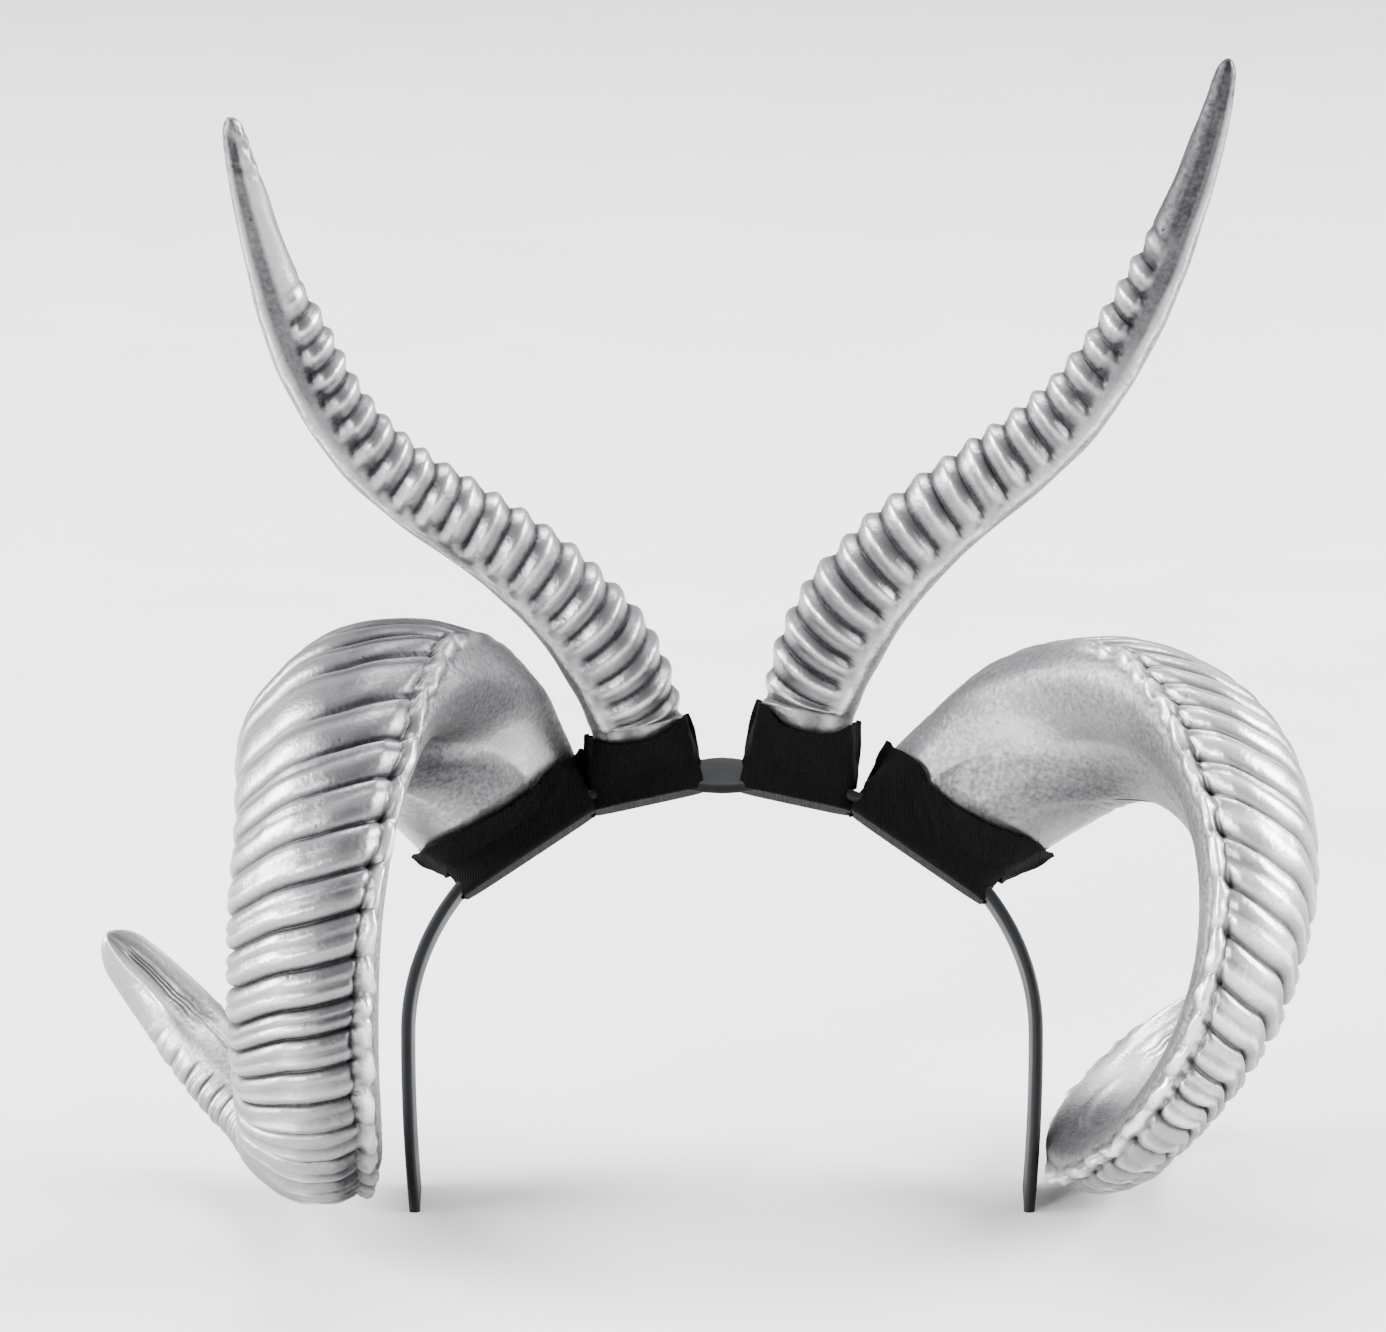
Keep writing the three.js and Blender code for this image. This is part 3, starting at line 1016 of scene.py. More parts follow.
    def rib_places(self, t: Array, angle: Array) -> RibPlaces:
        """Find each point's rib and its place on it.

        Args:
            t: Shares of the horn's length.
            angle: Degrees round it.

        Returns:
            The points' places among the ribs.
        """
        width = self.width(t)
        turn = self.from_keel(t, angle)
        arc = np.radians(turn) * width * self.ridge_reach
        phase = self.phase(t, angle)
        over = phase - np.floor(phase)
        count = len(self.grooves)
        rib = np.clip(np.floor(phase), 0, count - 1).astype(int)
        draw = np.random.default_rng(self.seed)
        swell, weak, stray, streak = (draw.uniform(low, high, count)[rib] for low, high in self.RIB_DRAWS)
        bend = round_ripple(Ripple(self.seed + 1, (9, 0.5, 0.5)), t, angle)
        split = stray + self.SPLIT_AT + self.SPLIT_SHIFT * smoothstep(*self.SPLIT_MOVES, t)
        weak = weak + 0.16 * smoothstep(*self.LOWER, t)
        double = weak * hump(over, split + 0.02 * bend, self.SPLIT_HALF)

        ribbed = self.RIBBED(t)
        rib_end = self.rib_end - self.rib_end_drop * smoothstep(*self.END_MOVES, t)
        side = smoothstep(1.6, 2.8, arc) * (1 - smoothstep(rib_end, rib_end + self.rib_end_soft, turn))
        share = ribbed * side * smoothstep(0, self.rib_fade, 1 - t)
        return RibPlaces(
            width, turn, arc, phase, over, ribbed, side, share, bend, swell, streak, split, double
        )

    def rib_height(self, t: Array, ribs: RibPlaces) -> Array:
        """Height of the cushioned ribs, which is below 0 in the grooves between and along them.

        Args:
            t: Shares of the horn's length.
            ribs: Where the skin lies among the ribs.

        Returns:
            Millimetres over the smooth section.
        """
        cushion = np.abs(2 * ribs.over - 1) ** 2.4
        groove = np.maximum(*(bump(ribs.over) for bump in self.GROOVES))
        sunk = 0.75 * cushion + 0.35 * groove + ribs.double
        return -read_table(self.DEPTH, t) * ribs.swell * ribs.share * sunk

    def rib_shade(self, t: Array, ribs: RibPlaces) -> Array:
        """Painted shade on the ribs, in their grooves, beside the keel and along the lower ones' edges.

        Args:
            t: Shares of the horn's length.
            ribs: Where the skin lies among the ribs.

        Returns:
            The painted shade at each place.
        """
        lower = smoothstep(*self.LOWER, t)
        beside_keel = self.keel_shade * (1 + 0.35 * lower) * hump(ribs.turn, 26, 20 + 8 * lower)
        edges = (0.13 + 0.3 * lower) * np.abs(2 * ribs.over - 1) ** 1.6
        tone = self.LOW_RIBS(t) * ribs.streak * np.maximum(beside_keel, edges)
        shadow = np.maximum(*(bump(ribs.over) for bump in self.SHADOWS))
        return ribs.share * (0.75 * shadow + 0.9 * ribs.double + tone)

    def rib_highlight(self, t: Array, ribs: RibPlaces) -> Array:
        """The painted highlight on the ribs, along their lips and in streaks over the lower ones' middles.

        Args:
            t: Shares of the horn's length.
            ribs: Where the skin lies among the ribs.

        Returns:
            The painted highlight at each place.
        """
        lip = self.FIRST_LIP(ribs.over) * (1 - smoothstep(0.26, 0.32, t))
        lip = lip + 0.7 * hump(ribs.over, ribs.split + 0.2, 0.07)
        streak = ribs.streak * hump(ribs.turn, 68 + 14 * ribs.bend, 20) * self.RIB_MIDDLE(ribs.over)
        return ribs.share * (0.6 * lip + 0.95 * self.LOW_RIBS(t) * streak)

    def face_height(self, t: Array, inner: Array, smooth: Array) -> Array:
        """The edge between the lower curl's two smooth faces, and the dished face at the root."""
        dish = self.dish * self.DISH_ALONG(t) * self.DISH_ROUND(inner) * smooth
        return self.face_edge * self.FACE_EDGE(inner) * self.LOW_CURL(t) - dish

    def uneven(self, t: Array, angle: Array) -> Array:
        """The casting's broad and fine unevenness, which dies away at the tip.

        Args:
            t: Shares of the horn's length.
            angle: Degrees round it.

        Returns:
            Millimetres over the smooth section.
        """
        broad = round_ripple(Ripple(self.seed + 4, (10, 1.0, 1.0)), t, angle)
        fine = round_ripple(Ripple(self.seed + 6, (45, 5, 5), 14), t, angle)
        return (0.1 * broad + 0.03 * fine) * smoothstep(0, 0.1, 1 - t)

    def relief(self, t: Array, angle: Array) -> tuple[Array, dict[str, Array]]:
        """Ribs, keel ridge, tip grooves and the soft unevenness of the casting.

        Args:
            t: Shares of the horn's length.
            angle: Degrees round it.

        Returns:
            Millimetres over the smooth section, and the marks painted_shade, painted_highlight and satin.
        """
        ribs = self.rib_places(t, angle)
        rope = self.rope.lay(t, ribs, self.seed)
        inner = np.mod(angle, 360)
        smooth = (1 - ribs.side) * (1 - rope.on_rope)
        lines = self.TIP_LINES.amount(t, inner, self.seed + 8)
        under_line = self.ROOT_PART(t) * self.UNDER_LINE(inner)
        spoon_rim = self.SPOON(t) * np.maximum(*(bump(inner) for bump in self.SPOON_RIMS))
        patch = sum(one.amount(t, angle) for one in self.patches)
        height = self.rib_height(t, ribs) + rope.height + self.face_height(t, inner, smooth)
        height = height + self.spoon_lip * spoon_rim - self.TIP_LINES.depth * lines + self.uneven(t, angle)
        # painted_shade paints shade into the rib grooves, the crack and line beside the keel ridge, the tip
        # grooves and the dark patches
        painted_shade = self.rib_shade(t, ribs) + 0.8 * rope.crack + rope.back_line + 0.9 * lines
        # painted_highlight paints highlights on the ribs' lips and middles, the keel ridge's beads, the thin
        # line under the root part and the spoon's rims, and painted light where a patch is below 0
        painted_highlight = self.rib_highlight(t, ribs) + rope.beads + 0.6 * under_line + 0.5 * spoon_rim
        marks = {
            "painted_shade": painted_shade + np.maximum(patch, 0),
            "painted_highlight": painted_highlight + np.maximum(-patch, 0),
            "satin": smooth * smoothstep(0.02, 0.2, 1 - t) - np.abs(patch),
        }
        return height, {key: np.clip(mark, 0, 1) for key, mark in marks.items()}


@dataclass
class AntelopeHorn(Horn):
    """The tall horn: an S-curve ringed with ribs, with a smooth strip down its outer side and a plain tip."""

    kind: ClassVar[str] = "antelope"
    around: ClassVar[int] = 96
    along: ClassVar[int] = 460
    seat_size: ClassVar[SeatSize] = SeatSize(25, 19, 0, 32.5, -1.3, 0.015, (50, 62))

    root: tuple[float, float, float] = (0, 0, 0)
    lean: float = 0
    seat_x: float = 23
    heading: Table = ((0, 0), (1, 0))
    inner_fill: Table = ((0, 0), (1, 0))
    tip_shade: float = 0.0
    tip_rough: float = 0.7

    length: float = 231
    spine_steps: int = 400
    depth_share: float = 0.94
    tip_round: float = 0.02
    settle: float = 0.06

    ribs: int = 21
    rib_from: float = 0.015
    rib_to: float = 0.77
    rib_tilt: float = 0.22
    seed: int = 41

    WIDTH: ClassVar[Table] = (
        (0, 26.5), (0.1, 27), (0.25, 24), (0.4, 21), (0.6, 18.5),
        (0.7, 16.5), (0.8, 12.5), (0.92, 8.8), (1, 4.8),
    )
    SECTION: ClassVar[Table] = (
        (0, 0.5), (90, 0.5), (135, 0.52), (180, 0.47), (225, 0.52), (270, 0.5), (360, 0.5),
    )
    RIB_SPAN: ClassVar[Table] = ((0, 114), (0.45, 112), (0.62, 98), (0.77, 76), (1, 60))
    EDGE: ClassVar[Table] = ((0, 123), (0.5, 121), (0.7, 127), (0.9, 130))
    EDGE_PART: ClassVar[Stretch] = Stretch(0, 0.04, 0.8, 1)
    CHANNEL_PART: ClassVar[Stretch] = Stretch(0.42, 0.72, 0.96, 1)
    DEPTH: ClassVar[Table] = ((0, 1.4), (0.2, 1.9), (0.5, 1.9), (0.77, 1.4), (1, 1))

    # Places across a rib, in shares of its width
    CLEFTS: ClassVar[tuple[Bump, Bump]] = (Bump(0, 0.07), Bump(1, 0.05))
    SHADOWS: ClassVar[tuple[Bump, Bump]] = (Bump(0.04, 0.24), Bump(1, 0.09))

    # Each rib's draws: its height, the place of its peak and its second groove's depth
    RIB_DRAWS: ClassVar[Table] = ((0.85, 1.15), (0.6, 0.7), (0, 0.3))

    @property
    def seat(self) -> BandSeat:
        """Where the horn stands on the band."""
        return self.band.seat(self.seat_x, self.side)

    def rings(self, t: Array) -> Rings:
        """The horn's sections at shares of its length.

        Args:
            t: Shares of the horn's length.

        Returns:
            The sections' centres and directions.
        """
        middle = (np.arange(self.spine_steps) + 0.5) / self.spine_steps
        turn = np.radians(read_table(self.heading, middle))
        stride = np.stack([self.side.value * np.sin(turn), 0 * turn, np.cos(turn)], axis=-1)
        knots = np.concatenate([np.zeros((1, 3)), np.cumsum(stride, 0)]) * self.length / self.spine_steps
        shares = np.linspace(0, 1, self.spine_steps + 1)
        place = np.stack([np.interp(t, shares, knots[:, k]) for k in range(3)], axis=-1)
        lean = turn_about("X", self.lean)
        here = np.radians(read_table(self.heading, t))
        run = np.stack([self.side.value * np.sin(here), 0 * here, np.cos(here)], axis=-1) @ lean.T
        inner = np.stack([-self.side.value * np.cos(here), 0 * here, np.sin(here)], axis=-1) @ lean.T
        back = np.broadcast_to(lean @ [0, -self.depth_share, 0], inner.shape)
        settled = smoothstep(0, self.settle, t)[..., None]
        inner = unit(inner * settled - self.seat.outward * (1 - settled))
        back = back * settled - self.seat.across * self.depth_share * (1 - settled)
        return Rings(place @ lean.T + np.array(self.root), inner, back, run)

    def width(self, t: Array) -> Array:
        """The horn's width, rounded off at the tip."""
        end = np.clip((t - 1 + self.tip_round) / self.tip_round, 0, 1)
        return read_table(self.WIDTH, t) * np.sqrt(np.maximum(1 - end * end, 0.01))

    def reach(self, t: Array, angle: Array) -> Array:
        """The smooth section's reach from the spine.

        Args:
            t: Shares of the horn's length.
            angle: Degrees round it.

        Returns:
            Millimetres from the spine.
        """
        facing = (0.5 + 0.5 * np.cos(np.radians(angle))) ** 2
        fill = read_table(self.inner_fill, t) * facing
        return self.width(t) * read_table(self.SECTION, np.mod(angle, 360)) + fill

    def phase(self, t: Array, angle: Array) -> Array:
        """Ribs counted from the root, whole numbers in the grooves between them."""
        rate = self.ribs / (self.rib_to - self.rib_from)
        return (t - self.rib_from) * rate - self.rib_tilt * np.cos(np.radians(angle))

    def angles(self, share: Array) -> Array:
        """Degrees round the horn, from the middle of its smooth strip."""
        return share * 360 - 180

    def seat_parts(self, angle: Array) -> tuple[Array, Array]:
        """The section's first direction points in along the band and its second back across it."""
        return -np.cos(np.radians(angle)), -np.sin(np.radians(angle))

    def relief(self, t: Array, angle: Array) -> tuple[Array, dict[str, Array]]:
        """Ribs, two fine ridges beside the smooth strip, the tip's channel and the casting's unevenness.

        Args:
            t: Shares of the horn's length.
            angle: Degrees round it.

        Returns:
            Millimetres over the smooth section, and the marks painted_shade, painted_highlight and satin.
        """
        off = np.abs(half_turn(angle))
        width = self.width(t)
        phase = self.phase(t, angle)
        over = phase - np.floor(phase)
        rib = np.clip(np.floor(phase), 0, self.ribs - 1).astype(int)
        draw = np.random.default_rng(self.seed + self.side.value)
        swell, peak, weak = (draw.uniform(low, high, self.ribs)[rib] for low, high in self.RIB_DRAWS)
        ribbed = Stretch(-0.2, 0.2, self.ribs - 0.7, self.ribs + 0.3)(phase)
        span = read_table(self.RIB_SPAN, t)
        share = ribbed * (1 - smoothstep(span - 14, span + 4, off))
        valley = 1 - np.where(over < peak, hump(over, peak, 0.38), hump(over, peak, 0.2))
        cleft = np.maximum(*(bump(over) for bump in self.CLEFTS))
        double = weak * hump(over, peak - 0.3, 0.06) * smoothstep(20, 60, off)
        ribs = -read_table(self.DEPTH, t) * swell * share * (valley + 0.2 * cleft + double)

        edge_at = read_table(self.EDGE, t)
        bend = round_ripple(Ripple(self.seed + 1, (12, 0.6, 0.6)), t, angle)
        edge = hump(off, edge_at + 1.2 * bend, 4.0) * self.EDGE_PART(t)
        knot = edge * hump(over, peak, 0.25) * ribbed
        ridge = (0.75 * edge + 0.3 * knot) * np.minimum(width / 16, 1)
        channel = Stretch(edge_at - 64, edge_at - 42, edge_at - 15, edge_at - 4)(off) * self.CHANNEL_PART(t)
        tip_face = 1 - smoothstep(edge_at - 30, edge_at - 12, off)
        tip_face = tip_face * self.tip_shade * smoothstep(0.7, 0.8, t)

        broad = round_ripple(Ripple(self.seed + 3, (14, 0.9, 0.9)), t, angle) * smoothstep(0, 0.1, 1 - t)
        rough = round_ripple(Ripple(self.seed + 5, (26, 0.9, 0.9)), t, angle)
        rough = rough * self.tip_rough * smoothstep(0.9, 0.95, t)
        height = ribs + ridge - 0.075 * width * channel
        height = height + 0.1 * broad + 0.2 * rough * smoothstep(0, 0.02, 1 - t)
        # painted_shade paints shade into the rib grooves, the tip's channel and the tip's inner face, and
        # grows darker towards the tip's end
        shadow = np.maximum(*(bump(over) for bump in self.SHADOWS))
        tip_end = 0.4 * smoothstep(0.92, 0.98, t) - 0.15 * rough
        # painted_highlight paints a highlight along the fine ridge beside the smooth strip and on each rib's
        # peak
        marks = {
            "painted_shade": share * (1.05 * shadow + double) + np.maximum(0.85 * channel, tip_face) + tip_end,
            "painted_highlight": edge + 0.5 * share * hump(over, peak, 0.12),
            "satin": smoothstep(edge_at - 4, edge_at + 4, off),
        }
        return height, {key: np.clip(mark, 0, 1) for key, mark in marks.items()}


@dataclass
class Sleeve:
    """The cloth sleeve that wraps a horn's root and goes round the band under it."""

    horn: Horn
    cloth: float = 1.1
    gap: float = 0.5
    around: int = 200
    along: int = 72
    under_share: float = 0.2
    side_share: float = 0.4
    under_drop: float = 2.2
    pinch: float = 0.85
    pinch_from: float = 0.9
    open_from: float = 0.96
    fin: float = 0.6
    corner_fin: float = 0.5
    corner_lift: float = 0.9
    rim_dip: float = 0.34
    fold_height: float = 0.3

    @property
    def name(self) -> str:
        """The sleeve's piece name."""
        return f"{self.horn.kind}_sleeve_{self.horn.side.word}_cloth"

    @property
    def node(self) -> str:
        """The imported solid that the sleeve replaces."""
        return f"{self.horn.kind}_sleeve_{self.horn.side.word}"

    def wrap(self, around: Array, along: Array) -> tuple[Array, dict[str, Array]]:
        """The sleeve's outer face, from its seam under the band up to its rim.

        Args:
            around: Shares round the sleeve.
            along: Shares from the seam to the rim.

        Returns:
            Points about the crown, and a mark where the band goes through.
        """
        horn, band, size = self.horn, self.horn.band, self.horn.seat_size
        seat = horn.seat
        angle = around * 360 - 180
        wall = self.gap + self.cloth
        hem_across = band.width + 2 * wall
        bottom = -band.thick - wall - self.under_drop
        rim = horn.surface(np.array(size.rim_at), angle, wall)
        hem = horn.seat_ring(angle, bottom, size.hem_along, hem_across, size.hem_shift)
        side = horn.seat_ring(angle, self.gap, size.hem_along, hem_across, size.hem_shift)
        middle = seat.point + seat.normal * bottom
        seam = hem - np.outer((hem - middle) @ seat.across, seat.across)
        out = unit(side - side.mean(0))
        folds = Ripple(horn.seed + 7, (1.3, 1.7, 1.7))
        run = (side - side.mean(0)) @ seat.outward
        top = 1 - self.rim_dip * (1 - (run / np.abs(run).max()) ** 2)
        at_end = np.abs(run - (run.max() + run.min()) / 2) > self.open_from * (run.max() - run.min()) / 2
        at_end &= np.abs((side - seat.point) @ seat.across) < band.width / 2 + self.gap
        at_band = (along > 0.97 * self.under_share) & (along < self.side_share + 0.01)
        points = []
        for v in along:
            if v < self.under_share:
                u = v / self.under_share
                ring = seam * (1 - u) + hem * u
            elif v < self.side_share:
                u = (v - self.under_share) / (self.side_share - self.under_share)
                ring = hem * (1 - u) + side * u
            else:
                u = (v - self.side_share) / (1 - self.side_share)
                up = (u * top)[:, None]
                ring = self.pinched(side * (1 - up) + rim * up, u)
            loose = float(smoothstep(self.under_share, self.side_share, np.array(v)))
            fold = loose * self.fold_height * round_ripple(folds, np.array(v), angle)
            points.append(ring + out * fold[:, None])
        return np.stack(points), {"slot": np.outer(at_band, at_end).astype(float)}

    def pinched(self, ring: Array, u: float) -> Array:
        """Draw a ring's two ends together into the side seams.

        Args:
            ring: Points round the sleeve.
            u: Share of the way from the band up to the rim.

        Returns:
            The ring with its ends pinched to short fins, which stand out most at the rim.
        """
        seat = self.horn.seat
        rel = ring - (ring.max(0) + ring.min(0)) / 2
        run = rel @ seat.outward
        run = run - (run.max() + run.min()) / 2
        near_end = smoothstep(self.pinch_from, 1.0, np.abs(run) / np.abs(run).max())
        drawn = near_end * float(smoothstep(0.0, 0.5, np.array(u)))
        at_rim = float(smoothstep(0.75, 1.0, np.array(u)))
        fin = drawn * near_end * (self.fin * (1 - at_rim) + self.corner_fin * at_rim)
        ring = ring - np.outer(rel @ seat.across * drawn * self.pinch, seat.across)
        ring = ring + np.outer(np.sign(run) * fin, seat.outward)
        return ring + np.outer(drawn**3 * at_rim * self.corner_lift, seat.normal)

    def build(self) -> bpy.types.Object:
        """Roll the sleeve, open its ends for the band and give the cloth its thickness.

        Returns:
            The sleeve.
        """
        sleeve = roll_grid(self.name, self.around, self.along, self.horn.band.crown, self.wrap, capped=False)
        mesh = sleeve.data
        slot = np.zeros(len(mesh.vertices), np.float32)
        mesh.attributes["slot"].data.foreach_get("value", slot)
        for face in mesh.polygons:
            face.select = all(slot[i] > 0.5 for i in face.vertices)
        bpy.context.tool_settings.mesh_select_mode = (False, False, True)
        bpy.ops.object.mode_set(mode="EDIT")
        bpy.ops.mesh.delete(type="FACE")
        bpy.ops.object.mode_set(mode="OBJECT")
        mesh.attributes.remove(mesh.attributes["slot"])
        apply_modifier(sleeve, "SOLIDIFY", thickness=self.cloth * MM, offset=-1.0)
        return sleeve


@dataclass(frozen=True)
class FineGrain:
    """A shader node group for the fine unevenness that paint, plastic and paper all have."""

    name: str = "fine_grain"

    def group(self) -> bpy.types.NodeTree:
        """Build the group once, or find it.

        Returns:
            A group with Vector, Scale and Detail in, and Tone and Height out.
        """
        if self.name in bpy.data.node_groups:
            return bpy.data.node_groups[self.name]
        tree = bpy.data.node_groups.new(self.name, "ShaderNodeTree")
        tree.interface.new_socket("Vector", in_out="INPUT", socket_type="NodeSocketVector")
        tree.interface.new_socket("Scale", in_out="INPUT", socket_type="NodeSocketFloat")
        tree.interface.new_socket("Detail", in_out="INPUT", socket_type="NodeSocketFloat")
        tree.interface.new_socket("Tone", in_out="OUTPUT", socket_type="NodeSocketFloat")
        tree.interface.new_socket("Height", in_out="OUTPUT", socket_type="NodeSocketFloat")
        given = tree.nodes.new("NodeGroupInput")
        made = tree.nodes.new("NodeGroupOutput")
        noise = tree.nodes.new("ShaderNodeTexNoise")
        stretch = tree.nodes.new("ShaderNodeMapRange")
        stretch.inputs["From Min"].default_value = 0.3
        stretch.inputs["From Max"].default_value = 0.7
        tree.links.new(given.outputs["Vector"], noise.inputs["Vector"])
        tree.links.new(given.outputs["Scale"], noise.inputs["Scale"])
        tree.links.new(given.outputs["Detail"], noise.inputs["Detail"])
        tree.links.new(noise.outputs["Fac"], stretch.inputs["Value"])
        tree.links.new(stretch.outputs["Result"], made.inputs["Tone"])
        tree.links.new(noise.outputs["Fac"], made.inputs["Height"])
        return tree


class NodeBench:
    """A new material's node tree, with short ways to add nodes and join them."""

    def __init__(self, name: str) -> None:
        """Start a material with its Principled shader.

        Args:
            name: The material's name.
        """
        self.material = bpy.data.materials.new(name)
        self.material.use_nodes = True
        self.tree = self.material.node_tree
        self.shader = self.tree.nodes["Principled BSDF"]
        self.object_place = self.add("ShaderNodeTexCoord").outputs["Object"]

    def add(self, kind: str, **settings: object) -> bpy.types.Node:
        """Add a node and set its fields.

        Args:
            kind: The node's type.
            settings: Fields to set on it.

        Returns:
            The node.
        """
        node = self.tree.nodes.new(kind)
        for key, value in settings.items():
            setattr(node, key, value)
        return node

    def mark(self, name: str) -> bpy.types.NodeSocket:
        """A mark that the mesh carries, from 0 to 1."""
        return self.add("ShaderNodeAttribute", attribute_name=name).outputs["Fac"]

    def join(self, output: bpy.types.NodeSocket, target: bpy.types.NodeSocket) -> None:
        """Link two sockets."""
        self.tree.links.new(output, target)

    def grain(self, scale: float, detail: float) -> bpy.types.Node:
        """Place the fine grain group, read in the object's own coordinates.

        Args:
            scale: Grains to a metre.
            detail: Octaves of finer grain.

        Returns:
            The group's node.
        """
        node = self.add("ShaderNodeGroup", node_tree=FineGrain().group())
        self.join(self.object_place, node.inputs["Vector"])
        node.inputs["Scale"].default_value = scale
        node.inputs["Detail"].default_value = detail
        return node

    def sum(self, *terms: tuple[bpy.types.NodeSocket, float], base: float = 0.0) -> bpy.types.NodeSocket:
        """Add up sockets, each times a weight.

        Args:
            terms: Pairs of socket and weight.
            base: A constant that is added.

        Returns:
            The sum's socket.
        """
        total: bpy.types.NodeSocket | None = None
        for socket, weight in terms:
            node = self.add("ShaderNodeMath", operation="MULTIPLY_ADD")
            self.join(socket, node.inputs[0])
            node.inputs[1].default_value = weight
            if total is None:
                node.inputs[2].default_value = base
            else:
                self.join(total, node.inputs[2])
            total = node.outputs[0]
        return total

    def times(self, one: bpy.types.NodeSocket, other: bpy.types.NodeSocket) -> bpy.types.NodeSocket:
        """Multiply two sockets.

        Args:
            one: The first socket.
            other: The second.

        Returns:
            The product's socket.
        """
        node = self.add("ShaderNodeMath", operation="MULTIPLY")
        self.join(one, node.inputs[0])
        self.join(other, node.inputs[1])
        return node.outputs[0]

    def mix(self, share: bpy.types.NodeSocket, low: tuple, high: tuple) -> bpy.types.NodeSocket:
        """Mix two colours by a share that may leave 0 to 1.

        Args:
            share: The share's socket.
            low: Colour at 0.
            high: Colour at 1.

        Returns:
            The mixed colour's socket.
        """
        node = self.add("ShaderNodeMix", data_type="RGBA", clamp_factor=True)
        self.join(share, node.inputs["Factor"])
        node.inputs["A"].default_value = (*low, 1)
        node.inputs["B"].default_value = (*high, 1)
        return node.outputs["Result"]

    def bump(self, height: bpy.types.NodeSocket, strength: float, distance: float) -> None:
        """Feed a height to the shader's normal.

        Args:
            height: The height's socket, from 0 to 1.
            strength: Share of the bump that shows.
            distance: Real height of 1, in metres.
        """
        node = self.add("ShaderNodeBump")
        node.inputs["Strength"].default_value = strength
        node.inputs["Distance"].default_value = distance
        self.join(height, node.inputs["Height"])
        self.join(node.outputs["Normal"], self.shader.inputs["Normal"])


@dataclass(frozen=True)
class SilverPaint:
    """Satin silver paint over cast foam, with painted shade in its grooves and painted highlights on its
    ridges, speckled on the flats and pitted in places.
    """

    # Colours of the painted highlight, of the paint itself and of the painted shade
    highlight_colour: tuple[float, float, float] = (0.82, 0.825, 0.84)
    bright: tuple[float, float, float] = (0.305, 0.308, 0.318)
    dull: tuple[float, float, float] = (0.028, 0.028, 0.031)
    bright_at: float = 0.3
    metallic: float = 0.95
    roughness: float = 0.27
    patch_scale: float = 55
    speckle_scale: float = 750
    pit_scale: float = 190
    pit_edge: tuple[float, float] = (0.06, 0.14)
    bump_share: float = 0.6
    bump_height: float = 0.0003

    def material(self) -> bpy.types.Material:
        """Build the paint.

        Returns:
            The paint's material.
        """
        bench = NodeBench("silver_paint")
        painted_shade = bench.mark("painted_shade")
        painted_highlight = bench.mark("painted_highlight")
        satin = bench.mark("satin")
        patches = bench.grain(self.patch_scale, 3).outputs["Tone"]
        speckle = bench.grain(self.speckle_scale, 3)
        flecks = bench.times(satin, speckle.outputs["Tone"])
        pits = bench.add("ShaderNodeTexVoronoi")
        pits.inputs["Scale"].default_value = self.pit_scale
        bench.join(bench.object_place, pits.inputs["Vector"])
        pit = bench.add("ShaderNodeMapRange", interpolation_type="SMOOTHSTEP")
        pit.inputs["From Min"].default_value = self.pit_edge[0]
        pit.inputs["From Max"].default_value = self.pit_edge[1]
        bench.join(pits.outputs["Distance"], pit.inputs["Value"])
        # The painted_shade mark darkens the paint towards the colour of the painted shade, and the
        # painted_highlight mark lightens it towards the colour of the painted highlight
        tone = bench.sum(
            (painted_shade, 0.85),
            (patches, 0.12),
            (speckle.outputs["Tone"], 0.12),
            (flecks, 0.4),
            (painted_highlight, -0.45),
            (pit.outputs["Result"], -0.15),
            base=0.15,
        )
        paint = bench.add("ShaderNodeValToRGB")
        paint.color_ramp.elements[0].color = (*self.highlight_colour, 1)
        paint.color_ramp.elements[1].color = (*self.dull, 1)
        paint.color_ramp.elements.new(self.bright_at).color = (*self.bright, 1)
        shifted = bench.sum((tone, 1 - self.bright_at), base=self.bright_at)
        bench.join(shifted, paint.inputs["Fac"])
        bench.join(paint.outputs["Color"], bench.shader.inputs["Base Color"])
        rough = bench.sum(
            (painted_shade, 0.2),
            (patches, 0.08),
            (speckle.outputs["Tone"], 0.08),
            (satin, 0.24),
            (painted_highlight, -0.06),
            base=self.roughness,
        )
        bench.join(rough, bench.shader.inputs["Roughness"])
        # A painted highlight is also less metallic, so that it stays pale whatever it faces
        bench.join(bench.sum((painted_highlight, -0.5), base=self.metallic), bench.shader.inputs["Metallic"])
        height = bench.sum((speckle.outputs["Height"], 0.8), (pit.outputs["Result"], 0.35))
        bench.bump(height, self.bump_share, self.bump_height)
        return bench.material


@dataclass(frozen=True)
class SleeveCloth:
    """Matt black cloth with a fine ribbed weave."""

    ground: tuple[float, float, float] = (0.0015, 0.0015, 0.002)
    thread: tuple[float, float, float] = (0.007, 0.007, 0.0078)
    roughness: float = 0.9
    sheen: float = 0.06
    rib_scale: float = 420
    rib_waver: float = 2.5
    fuzz_scale: float = 1600
    bump_share: float = 0.7
    bump_height: float = 0.0003

    def material(self) -> bpy.types.Material:
        """Build the cloth.

        Returns:
            The cloth's material.
        """
        bench = NodeBench("black_ribbed_cloth")
        rib = bench.add("ShaderNodeTexWave", wave_type="BANDS", bands_direction="X")
        rib.inputs["Scale"].default_value = self.rib_scale
        rib.inputs["Distortion"].default_value = self.rib_waver
        rib.inputs["Detail Scale"].default_value = 3.0
        bench.join(bench.object_place, rib.inputs["Vector"])
        fuzz = bench.grain(self.fuzz_scale, 2)
        tone = bench.sum((rib.outputs["Fac"], 0.3), (fuzz.outputs["Tone"], 0.5))
        bench.join(bench.mix(tone, self.ground, self.thread), bench.shader.inputs["Base Color"])
        bench.shader.inputs["Roughness"].default_value = self.roughness
        bench.shader.inputs["Specular IOR Level"].default_value = self.sheen
        height = bench.sum((rib.outputs["Fac"], 0.7), (fuzz.outputs["Height"], 0.4))
        bench.bump(height, self.bump_share, self.bump_height)
        return bench.material


